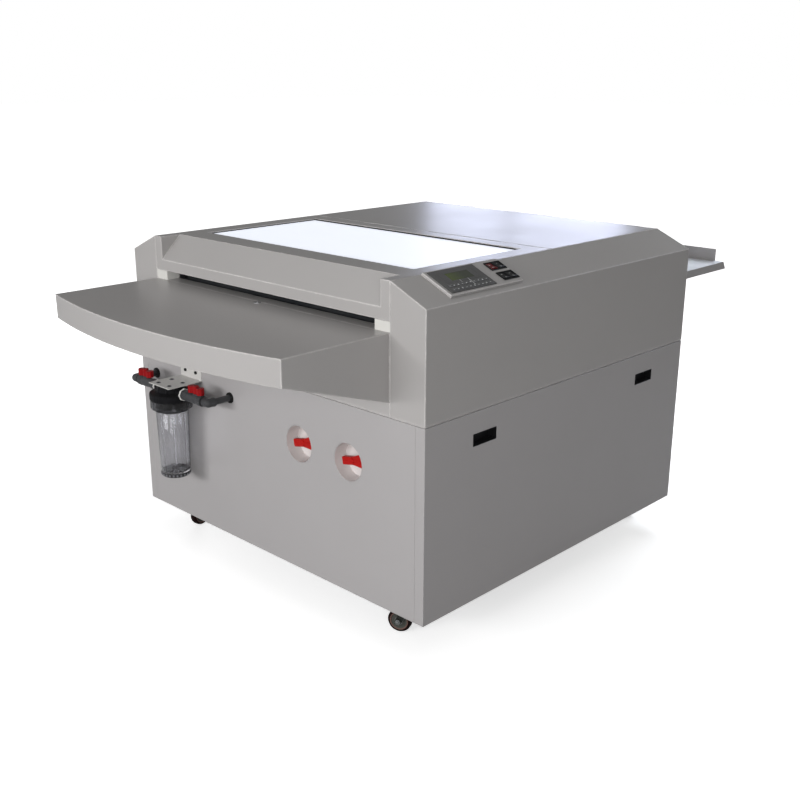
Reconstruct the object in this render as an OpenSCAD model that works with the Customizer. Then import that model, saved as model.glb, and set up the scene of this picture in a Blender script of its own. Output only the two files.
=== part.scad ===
// Printing plate processor: a floor-standing cabinet on castors. A plate is laid on the
// bowed feed table, drawn through the slot by driven rollers, developed, brushed and rinsed,
// and leaves over the tray at the back. Millimetres, +Z up, +Y towards the back.
// The origin is on the floor under the middle of the whole machine.

/* [Cabinet] */
// Width over the side panels
body_w = 1248; // [1200:1:1400]
// Depth from the front panel to the rear face
body_d = 1230; // [1180:1:1400]
// Height of the cabinet's underside above the floor
base_z = 95; // [92:1:110]
// Height of the seam between the lower and upper housing
seam_z = 640; // [625:1:650]
// Height of the lids' top
top_z = 992; // [985:1:1010]
// Drop from the lids' top to the lower edge of the sloped cheek
cheek_drop = 53; // [42:1:62]
// Width of each cheek beside the lids
cheek_w = 120; // [110:1:135]
// Thickness of the sheet metal
sheet = 2; // [1.5:0.1:2.4]
// Gap between neighbouring covers
panel_gap = 0.5; // [0.4:0.1:1.2]
// Height of the shadow groove at the seam
seam_gap = 3; // [2:0.1:4]
// Width of the side panel's fold on the front and rear faces
fold_w = 32; // [25:1:38]
// Leg of the frame's angle steel
angle_leg = 40; // [38:1:48]
// Thickness of the frame's angle steel
angle_t = 3; // [2.5:0.1:4]

/* [Feed table and exit tray] */
// Gap from the sides of the table and the tray to the joint with the cheeks
table_gap = 3; // [1:0.5:24]
// Drop from the lids' top to the feed table's top
table_drop = 130; // [124:1:134]
// Length of the table's straight sides
table_side = 345; // [300:1:400]
// How far the front edge bows out past its corners
table_bow = 62; // [30:1:110]
// Height of the skirt along the bowed edge
skirt_h = 70; // [50:1:90]
// Height of the table's lower edge over the seam where it meets the cabinet
root_up = 40; // [20:1:70]
// Drop from the lids' top to the exit tray's top
tray_drop = 171; // [166:1:180]
// Length of the exit tray's top
tray_l = 487; // [400:1:560]
// Height of the exit tray's rim
tray_rim = 27; // [20:1:40]
// How far the tray's rear rim leans out
tray_lean = 17; // [5:1:25]
// Height of the tray's end stop
stop_h = 42; // [30:1:60]

/* [Lids] */
// Length of the front lid from the front face to the hinge line
lid_l = 655; // [620:1:700]
// Height of the upright lip over the feed slot
lip_h = 32; // [26:1:40]
// Drop from the lids' top to the lip's lower edge
lip_drop = 102; // [96:1:106]
// Depth of the sloped hand recess
recess_d = 69; // [55:1:80]
// Width of the solid strip at each end of the hand recess
strip_w = 33; // [26:1:40]
// Distance of the window from the lid's sides
window_in = 64; // [54:1:104]
// Front edge of the window
window_y0 = 152; // [130:1:170]
// Rear edge of the window
window_y1 = 599; // [560:1:606]
// How far the window lies under the lid's top
window_sink = 5; // [4:0.5:7]
// Thickness of the window's opal sheet
window_t = 3; // [2:0.5:4]
// Radius of the lids' hinge barrels
barrel_r = 2.5; // [2.3:0.1:3]
// Radius of the lids' hinge pins
hinge_pin_r = 1.2; // [1:0.1:1.5]

/* [Feed slot] */
// Width of the slot's end blocks
block_w = 54; // [52:1:84]
// Depth of the slot's end blocks
block_d = 45; // [35:1:46]

/* [Controls] */
// Start of the control plate behind the front face
control_y = 107; // [95:1:130]
// Length of the control plate
control_l = 286; // [280:1:300]
// Distance of the control plate up the slope
control_up = 20; // [14:1:21]
// Width of the control plate up the slope
control_w = 108; // [106:1:110]
// Thickness of the control plate
control_t = 8; // [7:0.5:10]
// Length of the display unit
display_l = 172; // [150:1:172]
// Width of the display unit
display_w = 94; // [80:1:96]
// Length of one switch along the plate
switch_l = 30; // [26:1:31]
// Width of one switch up the slope
switch_w = 35; // [34:0.5:38]
// Tilt of a rocker to either side of level
rocker_tilt = 8; // [5:0.5:9]

/* [Filter] */
// Filter axis from the cabinet's left side
filter_in = 272; // [259:1:284]
// Filter axis in front of the panel
filter_reach = 78; // [74:1:90]
// Height of the filter bracket's underside
bracket_z = 568; // [555:1:575]
// Width of the filter bracket
bracket_w = 106; // [90:1:115]
// Radius of the filter head's ribbed ring
ring_r = 65.5; // [63:0.5:66]
// Radius of the bowl at its top
bowl_r = 50; // [48:0.5:54]
// Radius of the bowl at its bottom
bowl_foot_r = 45; // [42:0.5:46]
// Height of the bowl's bottom above the floor
bowl_z = 268; // [240:1:300]
// Depth of the head's ring under the bracket
head_h = 46; // [45:1:50]
// Depth of the filter ports' axis under the bracket
port_drop = 20; // [18:0.5:22]
// Distance of each valve from the filter axis
valve_out = 132; // [124:1:136]
// Distance of each pipe from the filter axis
pipe_out = 191; // [186:1:200]
// Radius of the plastic pipe
pipe_r = 10; // [8:0.5:11]

/* [Drains] */
// Radius of the drain recess
cup_r = 55; // [50:1:60]
// Depth of the drain recess
cup_d = 46; // [44:1:75]
// Height of the drain recess's axis
cup_z = 480; // [440:1:500]
// Right drain from the cabinet's right side
cup_in = 277; // [244:1:304]
// Distance between the two drains
cup_pitch = 200; // [150:1:230]

/* [Hand pulls] */
// Start of the front hand pull behind the front face
pull_y = 185; // [150:1:220]
// End of the rear hand pull in front of the rear face
pull_rear = 173; // [150:1:220]
// Length of a hand pull
pull_l = 96; // [80:1:110]
// Height of a hand pull's lower edge
pull_z = 545; // [500:1:550]
// Height of a hand pull
pull_h = 35; // [30:1:40]
// Depth of a hand pull
pull_d = 25; // [20:1:30]

/* [Castors] */
// Radius of the castor wheel
wheel_r = 34; // [32:0.5:36]
// Width of the castor wheel
wheel_w = 24; // [21:1:26]
// Distance of the wheel axle behind the swivel pin
trail = 25; // [22:1:28]
// Distance of the swivel pins from the cabinet's sides
castor_in = 124; // [94:1:154]
// Distance of the swivel pins from the front and rear faces
castor_y = 78; // [70:1:110]

/* [Rollers] */
// Radius of the rubber rollers
roller_r = 30; // [28:0.5:31]
// Gap at the nip
nip = 0.4; // [0.3:0.1:0.6]
// Drop from the lids' top to the plate's path
path_drop = 126; // [122:1:128]
// Feed rollers behind the front face
feed_y = 92; // [88:1:110]
// Brush roller behind the front face
brush_y = 340; // [300:1:420]
// Radius of the brush roller
brush_r = 32; // [28:0.5:34]
// Exit rollers in front of the rear face
exit_in = 95; // [85:1:110]
// Inner face of the roller frames from the joint with the cheeks
frame_in = 44; // [40:1:46]
// Thickness of the roller frames
side_t = 8; // [6:0.5:8]

/* [Hidden] */
$fn = 64;

// Paint and plastic colours
paint = [0.66, 0.65, 0.64];
paint_dark = [0.47, 0.47, 0.48];
black = [0.06, 0.06, 0.07];
steel = [0.72, 0.73, 0.75];
pvc = [0.30, 0.31, 0.33];
red = [0.75, 0.06, 0.05];
pale = [0.86, 0.85, 0.83];
opal = [0.97, 0.97, 1];
clear = [0.8, 0.85, 0.9, 0.4];
screen = [0.25, 0.33, 0.22];
nylon = [0.93, 0.93, 0.9];
tank_grey = [0.8, 0.8, 0.78];
bristle = [0.75, 0.75, 0.7];

// Cuts run this far past the faces they open
cut = 1;
// Radial clearance of a running fit
run = 0.05;

// The cabinet's main planes
half = body_w / 2;
inner_x = half - cheek_w;
lid_half = inner_x - panel_gap / 2;
wall_x = inner_x + panel_gap / 2;
panel_half = half - fold_w - panel_gap / 2;
fold_x = half - fold_w + panel_gap / 2;
front_y = -(body_d + tray_l + tray_lean - table_side - table_bow) / 2;
housing_z = seam_z + seam_gap;
cheek_z = top_z - cheek_drop;
table_z = top_z - table_drop;
table_root_h = table_z - seam_z - root_up;
tray_z = top_z - tray_drop;
lip_z = top_z - lip_drop;
path_z = top_z - path_drop;
table_half = inner_x - table_gap;
window_half = inner_x - window_in;
slot_half = inner_x - block_w;
side_x = inner_x - frame_in;
slope_a = atan2(top_z - cheek_z, cheek_w);

// Foot flanges inside the upper housing
foot_w = 25;
foot_h = 6;

// Cross members that carry the tanks and the roller frames
cross_in = 170;
cross_ys = [cross_in, body_d / 2, body_d - cross_in - angle_leg];

// A box between two corners
module box(lo, hi) translate(lo) cube(hi - lo);

// A round bar along X or along Y, from one end to the other
module bar_x(r, x0, x1) translate([x0, 0, 0]) rotate([0, 90, 0]) cylinder(r = r, h = x1 - x0);
module bar_y(r, y0, y1) translate([0, y0, 0]) rotate([-90, 0, 0]) cylinder(r = r, h = y1 - y0);

// A profile of [y, z] points drawn out along X
module along_x(points, x0, x1)
    translate([x0, 0, 0]) rotate([90, 0, 90]) linear_extrude(x1 - x0) polygon(points);

// A profile of [x, z] points drawn out along Y
module along_y(points, y0, y1)
    translate([0, y1, 0]) rotate([90, 0, 0]) linear_extrude(y1 - y0) polygon(points);

// Everything is drawn with Y counted from the front panel's face, then moved to the origin
module place() translate([0, front_y, 0]) children();

// Lower cabinet

module angle_ring(flat_z, leg_z) {
    x = half - sheet;
    y1 = body_d - sheet;
    difference() {
        box([-x, sheet, flat_z], [x, y1, flat_z + angle_t]);
        box([-x + angle_leg, sheet + angle_leg, flat_z - cut],
            [x - angle_leg, y1 - angle_leg, flat_z + angle_t + cut]);
    }
    difference() {
        box([-x, sheet, leg_z], [x, y1, leg_z + angle_leg]);
        box([-x + angle_t, sheet + angle_t, leg_z - cut],
            [x - angle_t, y1 - angle_t, leg_z + angle_leg + cut]);
    }
}

module corner_post() {
    x = half - sheet;
    box([x - angle_leg, sheet, base_z], [x, sheet + angle_t, seam_z]);
    box([x - angle_t, sheet, base_z], [x, sheet + angle_leg, seam_z]);
}

module base_frame() color(paint_dark) {
    x = half - sheet;
    box([-x, sheet, base_z], [x, body_d - sheet, base_z + sheet]);
    angle_ring(base_z + sheet, base_z + sheet);
    angle_ring(seam_z - angle_t, seam_z - angle_leg);
    for (side = [0, 1], back = [0, 1])
        mirror([side, 0, 0]) translate([0, back * body_d, 0]) mirror([0, back, 0]) corner_post();
    for (y = cross_ys) {
        box([-x, y, seam_z - angle_t], [x, y + angle_leg, seam_z]);
        box([-x, y, seam_z - angle_leg], [x, y + angle_t, seam_z]);
    }
}

filter_x = half - filter_in;
cup_x2 = half - cup_in;
cup_x1 = cup_x2 - cup_pitch;
cup_xs = [cup_x1, cup_x2];
pipe_xs = [-filter_x - pipe_out, -filter_x + pipe_out];
pipe_z = bracket_z - port_drop;
grommet_wall = 2.5;
grommet_r = pipe_r + grommet_wall;

module front_panel() color(paint) difference() {
    box([-panel_half, 0, base_z], [panel_half, sheet, seam_z]);
    for (x = cup_xs) translate([x, 0, cup_z]) bar_y(cup_r, -cut, sheet + cut);
    for (x = pipe_xs) translate([x, 0, pipe_z]) bar_y(grommet_r, -cut, sheet + cut);
    at_screws() bar_y(screw_r, -cut, sheet + cut);
}

pull_ys = [pull_y, body_d - pull_rear - pull_l];

module side_panel() color(paint_dark) difference() {
    union() {
        box([half - sheet, 0, base_z], [half, body_d, seam_z]);
        box([fold_x, 0, base_z], [half, sheet, seam_z]);
        box([fold_x, body_d - sheet, base_z], [half, body_d, seam_z]);
    }
    for (y = pull_ys)
        box([half - sheet - cut, y, pull_z], [half + cut, y + pull_l, pull_z + pull_h]);
}

module left_panel() mirror([1, 0, 0]) side_panel();
module right_panel() side_panel();

// Air slots and the mains gland's hole in the back
vent_x = 260;
vent_half = 160;
vent_h = 6;
vent_pitch = 18;
vent_z = 430;
vents = 7;
gland_in_x = 154;
gland_x = gland_in_x - half;
gland_z = 190;
gland_r = 14;

module rear_panel() color(paint) difference() {
    box([-panel_half, body_d - sheet, base_z], [panel_half, body_d, seam_z]);
    for (i = [0 : vents - 1], x = [-vent_x, vent_x])
        translate([x, body_d - sheet - cut, vent_z + i * vent_pitch])
            box([-vent_half, 0, 0], [vent_half, sheet + 2 * cut, vent_h]);
    translate([gland_x, 0, gland_z]) bar_y(gland_r, body_d - sheet - cut, body_d + cut);
}

gland_bore = 5;
gland_nut_r = 19;
gland_nut_h = 8;
gland_lock_h = 7;
gland_cap_r = 12;
gland_in = 14;
gland_out = 24;

module mains_gland() color(black) translate([gland_x, body_d, gland_z]) difference() {
    union() {
        bar_y(gland_r - run, -sheet - gland_in, gland_nut_h);
        bar_y(gland_nut_r, 0, gland_nut_h);
        bar_y(gland_nut_r, -sheet - gland_lock_h, -sheet);
        bar_y(gland_cap_r, 0, gland_out);
    }
    bar_y(gland_bore, -sheet - gland_in - cut, gland_out + cut);
}

// Plastic cups set into the side panels, held by a flange behind the sheet
pull_wall = 2;
pull_lip = 5;
pull_fit = 0.2;

module side_pull() {
    x0 = half - pull_d - pull_wall;
    difference() {
        union() {
            box([x0, pull_fit, pull_fit], [half, pull_l - pull_fit, pull_h - pull_fit]);
            box([half - sheet - pull_wall, -pull_lip, -pull_lip],
                [half - sheet, pull_l + pull_lip, pull_h + pull_lip]);
        }
        box([x0 + pull_wall, pull_wall, pull_wall],
            [half + cut, pull_l - pull_wall, pull_h - pull_wall]);
    }
}

module side_pulls() color(black)
    for (side = [0, 1], y = pull_ys)
        mirror([side, 0, 0]) translate([0, y, pull_z]) side_pull();

// Upper housing

function slope_z(x) = cheek_z + (half - x) * tan(slope_a);

module cheek() color(paint) {
    skin = sheet / cos(slope_a);
    difference() {
        along_y([[wall_x, housing_z], [half, housing_z], [half, cheek_z],
                 [wall_x, slope_z(wall_x)]], 0, body_d);
        along_y([[wall_x + sheet, housing_z - cut], [half - sheet, housing_z - cut],
                 [half - sheet, slope_z(half - sheet) - skin],
                 [wall_x + sheet, slope_z(wall_x + sheet) - skin]], sheet, body_d - sheet);
    }
    difference() {
        box([wall_x + sheet, sheet, seam_z], [half - sheet, body_d - sheet, seam_z + foot_h]);
        box([wall_x + sheet + foot_w, sheet + foot_w, seam_z - cut],
            [half - sheet - foot_w, body_d - sheet - foot_w, seam_z + foot_h + cut]);
    }
}

module left_cheek() mirror([1, 0, 0]) cheek();
module right_cheek() cheek();

// The front apron has a shelf behind the table for the slot's end blocks
module front_apron() color(paint) {
    box([-lid_half, 0, housing_z], [lid_half, sheet, table_z]);
    box([-lid_half, 0, table_z - sheet], [lid_half, block_d, table_z]);
    box([-lid_half, sheet, seam_z], [lid_half, sheet + foot_w, seam_z + foot_h]);
}

block_clear = 0.5;

module slot_end_blocks() color(pale)
    for (side = [0, 1]) mirror([side, 0, 0])
        box([slot_half, 0, table_z], [lid_half, block_d, lip_z - block_clear]);

// Lower edges of the lids: along the sides, and inside them along the back
side_skirt_d = 37;
side_skirt_z = top_z - side_skirt_d;
skirt_d = 25;
skirt_z = top_z - skirt_d;

// The lids turn on pins in short barrels at their rear edges
barrel_gap = 0.5;
hinge_z = top_z - barrel_r;
web_z = hinge_z - barrel_r - barrel_gap;
web_t = 2.6;
lid_edge = barrel_r + 2 * barrel_gap;
front_hinge_y = lid_l;
rear_hinge_y = body_d - barrel_r;
rear_lid_y = lid_l + barrel_r + barrel_gap;
knuckle_l = 60;
hinge_x = 0.7 * lid_half;
hinge_xs = [-hinge_x, 0, hinge_x];
pin_half = 1.5 * knuckle_l + barrel_gap;

// Two fixed barrels of each hinge, with a foot down to the sheet that carries them
module fixed_barrels() difference() {
    for (x = hinge_xs, side = [0, 1])
        translate([x, 0, 0]) mirror([side, 0, 0]) {
            x0 = knuckle_l / 2 + barrel_gap;
            bar_x(barrel_r, x0, x0 + knuckle_l);
            box([x0, -web_t / 2, web_z - hinge_z - cut], [x0 + knuckle_l, web_t / 2, 0]);
        }
    bar_x(hinge_pin_r, -lid_half, lid_half);
}

// The moving barrel of each hinge, and the tongue that joins it to the lid's sheet
module lid_barrels() difference() {
    for (x = hinge_xs) translate([x, 0, 0]) {
        bar_x(barrel_r, -knuckle_l / 2, knuckle_l / 2);
        box([-knuckle_l / 2, -lid_edge - cut, barrel_r - sheet], [knuckle_l / 2, 0, barrel_r]);
    }
    bar_x(hinge_pin_r + run, -lid_half, lid_half);
}

module hinge_pins() color(steel)
    for (y = [front_hinge_y, rear_hinge_y], x = hinge_xs)
        translate([x, y, hinge_z]) bar_x(hinge_pin_r, -pin_half, pin_half);

exit_slot_in = 49;
exit_slot_half = inner_x - exit_slot_in;
exit_slot_up = 14;
exit_slot_z0 = tray_z + exit_slot_up;
exit_slot_h = 50;

module rear_apron() color(paint) {
    difference() {
        box([-lid_half, body_d - sheet, housing_z], [lid_half, body_d, web_z]);
        box([-exit_slot_half, body_d - sheet - cut, exit_slot_z0],
            [exit_slot_half, body_d + cut, exit_slot_z0 + exit_slot_h]);
    }
    box([-lid_half, body_d - sheet - foot_w, seam_z],
        [lid_half, body_d - sheet, seam_z + foot_h]);
    translate([0, rear_hinge_y, hinge_z]) fixed_barrels();
    // The sheet's top edge turns in under the barrels
    box([-lid_half, rear_hinge_y - web_t / 2, web_z - sheet], [lid_half, body_d, web_z]);
}

// Cross beam under the joint of the two lids
beam_d = 30;
beam_h = 35;
beam_gap = 2;
beam_top = side_skirt_z - beam_gap;

module center_beam() color(paint_dark) {
    y = front_hinge_y;
    box([-wall_x, y - beam_d / 2, beam_top - beam_h], [wall_x, y + beam_d / 2, beam_top]);
    box([-lid_half, y - web_t / 2, beam_top - cut], [lid_half, y + web_t / 2, web_z]);
    translate([0, y, hinge_z]) fixed_barrels();
}

// Feed table: a folded tray with a bowed front edge and a hole for the plate sensor
sensor_y = 12;
sensor_r = 7;
skirt_flat = 5;
table_arc = (table_half * table_half + table_bow * table_bow) / (2 * table_bow);

module table_solid(inset, drop) {
    y0 = -table_side - table_bow;
    z0 = table_z - skirt_h - drop;
    root_z = table_z - table_root_h - drop;
    intersection() {
        translate([0, y0 + table_arc, root_z - cut])
            cylinder(r = table_arc - inset, h = table_root_h + drop + 2 * cut, $fn = 256);
        along_x([[y0, table_z - inset], [y0, z0], [-table_side + skirt_flat, z0],
                 [-inset, root_z], [-inset, table_z - inset]],
                -table_half + inset, table_half - inset);
    }
}

module feed_table() color(paint) difference() {
    table_solid(0, 0);
    table_solid(sheet, cut);
    translate([0, -sensor_y, table_z - sheet - cut]) cylinder(r = sensor_r, h = sheet + 2 * cut);
}

module tray_profile(inset, x0, x1) {
    y0 = body_d + inset;
    y1 = body_d + tray_l - inset;
    lean = tray_lean * (tray_rim + cut) / tray_rim;
    drop = inset > 0 ? tray_rim + cut : tray_rim;
    out = inset > 0 ? lean : tray_lean;
    along_x([[y0, tray_z - drop], [y0, tray_z - inset], [y1, tray_z - inset],
             [y1 + out, tray_z - drop]], x0, x1);
}

module exit_tray() color(paint) difference() {
    tray_profile(0, -table_half, table_half);
    tray_profile(sheet, -table_half + sheet, table_half - sheet);
}

stop_in = 33;
stop_half = table_half - stop_in;
stop_foot = 22;

module exit_stop() color(paint) {
    y = body_d + tray_l;
    box([-stop_half, y - sheet, tray_z], [stop_half, y, tray_z + stop_h]);
    box([-stop_half, y - stop_foot, tray_z], [stop_half, y, tray_z + sheet]);
}

// Lids

recess_half = lid_half - strip_w;
lip_top = lip_z + lip_h;
// Where an inset line meets the inset of a slope at half a right angle
fold_in = tan(22.5);

// Outline of the lid from the side: with the hand recess, or square at the end strips
function lid_side(recess, inset) = concat(
    recess
        ? [[inset, lip_z - cut], [inset, lip_top - inset * fold_in],
           [recess_d + inset * fold_in, top_z - inset]]
        : [[inset, lip_z - cut], [inset, top_z - inset]],
    [[lid_l - lid_edge - inset, top_z - inset], [lid_l - lid_edge - inset, lip_z - cut]]);

module front_lid_skin() difference() {
    union() {
        along_x(lid_side(true, 0), -recess_half, recess_half);
        for (side = [0, 1]) mirror([side, 0, 0])
            along_x(lid_side(false, 0), recess_half, lid_half);
    }
    along_x(lid_side(true, sheet), -lid_half + sheet, lid_half - sheet);
    for (side = [0, 1]) mirror([side, 0, 0])
        along_x(lid_side(false, sheet), recess_half + sheet, lid_half - sheet);
    // Lower edges: deep at the front, shallow along the sides and the back
    box([-lid_half - cut, -cut, lip_z - 2 * cut], [lid_half + cut, lid_l, lip_z]);
    box([-lid_half - cut, recess_d, lip_z - cut], [lid_half + cut, lid_l, side_skirt_z]);
    box([-lid_half + sheet, recess_d, lip_z - cut], [lid_half - sheet, lid_l, skirt_z]);
}

ledge = 12;
frame_wall = 2;
lip_return = 15;
pane_z = top_z - window_sink - window_t;

module front_lid() color(paint) difference() {
    union() {
        front_lid_skin();
        box([-lid_half, 0, lip_z], [lid_half, lip_return, lip_z + sheet]);
        box([-window_half - frame_wall, window_y0 - frame_wall, pane_z - sheet],
            [window_half + frame_wall, window_y1 + frame_wall, top_z]);
        translate([0, front_hinge_y, hinge_z]) lid_barrels();
    }
    box([-window_half, window_y0, pane_z], [window_half, window_y1, top_z + cut]);
    box([-window_half + ledge, window_y0 + ledge, pane_z - sheet - cut],
        [window_half - ledge, window_y1 - ledge, top_z]);
}

window_fit = 0.2;

module lid_window() color(opal)
    box([-window_half + window_fit, window_y0 + window_fit, pane_z],
        [window_half - window_fit, window_y1 - window_fit, pane_z + window_t]);

module rear_lid() color(paint) {
    y1 = rear_hinge_y - lid_edge;
    difference() {
        box([-lid_half, rear_lid_y, side_skirt_z], [lid_half, y1, top_z]);
        box([-lid_half + sheet, rear_lid_y + sheet, side_skirt_z - cut],
            [lid_half - sheet, y1 + cut, top_z - sheet]);
        box([-lid_half + sheet, rear_lid_y - cut, side_skirt_z - cut],
            [lid_half - sheet, rear_lid_y + 2 * sheet, skirt_z]);
    }
    translate([0, rear_hinge_y, hinge_z]) lid_barrels();
}

// Controls on the slope of the right cheek. Local X runs down the slope, Z out of it.
module on_slope() translate([half, 0, cheek_z]) rotate([0, slope_a, 0]) children();

switch_row_gap = 12;
switch_col_gap = 2;
switch_in = 2;
switch_y0 = control_y + control_l - 2 * switch_l - switch_col_gap - switch_in;
switch_up0 = control_up + (control_w - 2 * switch_w - switch_row_gap) / 2;
switch_rim = 2.2;
bezel_t = 2.5;
pocket_in = switch_rim + 0.3;
// Places of the four switches: [up the slope, along the plate], middle of each
switch_at = [for (row = [1, 0], col = [0, 1])
    [switch_up0 + row * (switch_w + switch_row_gap) + switch_w / 2,
     switch_y0 + col * (switch_l + switch_col_gap) + switch_l / 2]];

display_in = 10;
display_y = control_y + display_in;
display_up = control_up + (control_w - display_w) / 2;

module control_plate() color(paint) on_slope() difference() {
    box([-control_up - control_w, control_y, run], [-control_up, control_y + control_l, control_t]);
    for (at = switch_at) translate([-at[0], at[1], 0])
        box([-switch_w / 2 + switch_rim, -switch_l / 2 + switch_rim, -cut],
            [switch_w / 2 - switch_rim, switch_l / 2 - switch_rim, control_t + cut]);
}

// The display's glass lies in a pocket of its bezel
bezel_side = 22;
bezel_low = 38;
bezel_high = 14;
screen_t = 1;
screen_fit = 0.1;
screen_sink = 0.2;

module screen_box(fit, top) box(
    [-display_up - display_w + bezel_high + fit, display_y + bezel_side + fit,
     control_t + bezel_t - screen_t],
    [-display_up - bezel_low - fit, display_y + display_l - bezel_side - fit, top]);

module display_bezel() color(black) on_slope() difference() {
    box([-display_up - display_w, display_y, control_t],
        [-display_up, display_y + display_l, control_t + bezel_t]);
    screen_box(0, control_t + bezel_t + cut);
}

module display_screen() color(screen) on_slope()
    screen_box(screen_fit, control_t + bezel_t - screen_sink);

// Rockers turn on a pin across each switch housing
rocker_pin_r = 1.2;
rocker_pin_sink = 2.5;
rocker_pin_z = control_t - rocker_pin_sink;
rocker_side = 0.6;
rocker_end = 1.6;
rocker_l = switch_w - 2 * switch_rim - 2 * rocker_end;
rocker_w = switch_l - 2 * switch_rim - 2 * rocker_side;
// Heights over the pin: the ends, the dip between them, the lower edges and the belly
rocker_tip = 4.9;
rocker_dip = 3.2;
rocker_low = 1;
rocker_belly = -2.6;

module switch_bezels() color(black) on_slope() for (at = switch_at)
    translate([-at[0], at[1], 0]) {
        difference() {
            union() {
                box([-switch_w / 2, -switch_l / 2, control_t],
                    [switch_w / 2, switch_l / 2, control_t + bezel_t]);
                box([-switch_w / 2 + switch_rim, -switch_l / 2 + switch_rim, 0],
                    [switch_w / 2 - switch_rim, switch_l / 2 - switch_rim, control_t]);
            }
            box([-switch_w / 2 + pocket_in, -switch_l / 2 + pocket_in, -cut],
                [switch_w / 2 - pocket_in, switch_l / 2 - pocket_in, control_t + bezel_t + cut]);
        }
        translate([0, 0, rocker_pin_z]) bar_y(rocker_pin_r, -switch_l / 2 + switch_rim,
                                              switch_l / 2 - switch_rim);
    }

module rocker(i) color(i == 0 ? red : black) on_slope()
    translate([-switch_at[i][0], switch_at[i][1], rocker_pin_z]) rotate([0, -rocker_tilt, 0])
        difference() {
            l = rocker_l / 2;
            along_y([[-l, rocker_tip], [0, rocker_dip], [l, rocker_tip], [l, rocker_low],
                     [0, rocker_belly], [-l, rocker_low]], -rocker_w / 2, rocker_w / 2);
            bar_y(rocker_pin_r + run, -rocker_w / 2 - cut, rocker_w / 2 + cut);
        }

module rocker_1() rocker(0);
module rocker_2() rocker(1);
module rocker_3() rocker(2);
module rocker_4() rocker(3);

// Filter: an L bracket on the front panel carries the head, the bowl hangs from the head

bracket_t = 2.5;
bracket_leg = 32;
bracket_d = 120;
bracket_hole_r = 5;
bracket_hole_x = 28;
bracket_hole_y = 24;
screw_out = 27;
screw_drop = 8;
screw_r = 2.5;
screw_head_r = 5;
screw_head_h = 3.5;
screw_tail = 6;

module at_filter() translate([-filter_x, -filter_reach, 0]) children();

module at_screws() for (side = [-1, 1])
    translate([-filter_x + side * screw_out, 0, bracket_z + bracket_leg - screw_drop]) children();

module filter_bracket() {
    color(pale) difference() {
        union() {
            box([-filter_x - bracket_w / 2, -bracket_d, bracket_z],
                [-filter_x + bracket_w / 2, 0, bracket_z + bracket_t]);
            box([-filter_x - bracket_w / 2, -bracket_t, bracket_z],
                [-filter_x + bracket_w / 2, 0, bracket_z + bracket_leg]);
        }
        for (x = [-1, 1], y = [-1, 1])
            at_filter() translate([x * bracket_hole_x, y * bracket_hole_y, bracket_z - cut])
                cylinder(r = bracket_hole_r, h = bracket_t + 2 * cut);
        at_screws() bar_y(screw_r, -bracket_t - cut, cut);
    }
    color(black) at_screws() {
        bar_y(screw_r, -bracket_t - screw_head_h, sheet + screw_tail);
        bar_y(screw_head_r, -bracket_t - run - screw_head_h, -bracket_t - run);
    }
}

head_r = 46;
port_r = 13;
port_l = 66.5;
ring_h = 22;
spigot_r = 43;
spigot_h = 20;
head_shoulder = 4;
head_taper = 4;
head_edge = 2;
bowl_seat = bracket_z - head_h;

module filter_head() color(black) at_filter() {
    translate([0, 0, bowl_seat]) rotate_extrude() polygon([
        [0, -spigot_h], [spigot_r, -spigot_h], [spigot_r, 0], [ring_r, 0], [ring_r, ring_h],
        [head_r, ring_h + head_shoulder], [head_r - head_taper, head_h - head_edge],
        [head_r - head_taper - head_edge, head_h], [0, head_h]]);
    translate([0, 0, pipe_z]) bar_x(port_r, -port_l, port_l);
}

bowl_wall = 4;
bowl_floor = 5;
bowl_round = 4;
foot_edge = 2;
collar_r = ring_r - 1.5;
collar_h = 26;
collar_slope = 6;
collar_gap = 0.3;
spigot_end = 2;

module filter_bowl() color(clear) at_filter() {
    z1 = bowl_seat - collar_gap;
    rotate_extrude() polygon([
        [0, bowl_z], [bowl_foot_r - foot_edge, bowl_z], [bowl_foot_r, bowl_z + foot_edge],
        [bowl_r, z1 - collar_h - collar_slope], [collar_r, z1 - collar_h], [collar_r, z1],
        [spigot_r + run, z1], [spigot_r + run, z1 - spigot_h - spigot_end],
        [bowl_foot_r - bowl_wall, bowl_z + bowl_floor + bowl_round],
        [bowl_foot_r - bowl_wall - bowl_round, bowl_z + bowl_floor], [0, bowl_z + bowl_floor]]);
}

// Ball valves in line with the head's ports, turned from above
valve_r = 15;
union_r = 16.5;
union_l = 20;
neck_r = 10;
stem_r = 4;
stem_top = 40;
hub_z = 17;
hub_gap = 0.3;
stub_l = 6;
elbow_l = 20;
valve_half = pipe_out - valve_out - elbow_l - stub_l;

module filter_valves() color(pvc) at_filter() for (side = [0, 1]) mirror([side, 0, 0])
    translate([valve_out, 0, pipe_z]) {
        bar_x(valve_r, port_l - valve_out, valve_half);
        bar_x(union_r, port_l - valve_out + nut_w, port_l - valve_out + nut_w + union_l);
        bar_x(union_r, valve_half - union_l, valve_half);
        cylinder(r = neck_r, h = hub_z - hub_gap);
        cylinder(r = stem_r, h = stem_top);
    }

nut_w = 10;
nut_r = 20;

module port_nuts() color(pale) at_filter() for (side = [0, 1]) mirror([side, 0, 0])
    translate([port_l, 0, pipe_z]) difference() {
        bar_x(nut_r, 0, nut_w);
        bar_x(valve_r + run, -cut, nut_w + cut);
    }

lobe_l = 33;
lobe_w0 = 11;
lobe_w1 = 24;
lobe_h = 21;
lobe_edge = 4;
handle_hub_r = 9;
hub_rise = 3;

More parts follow.
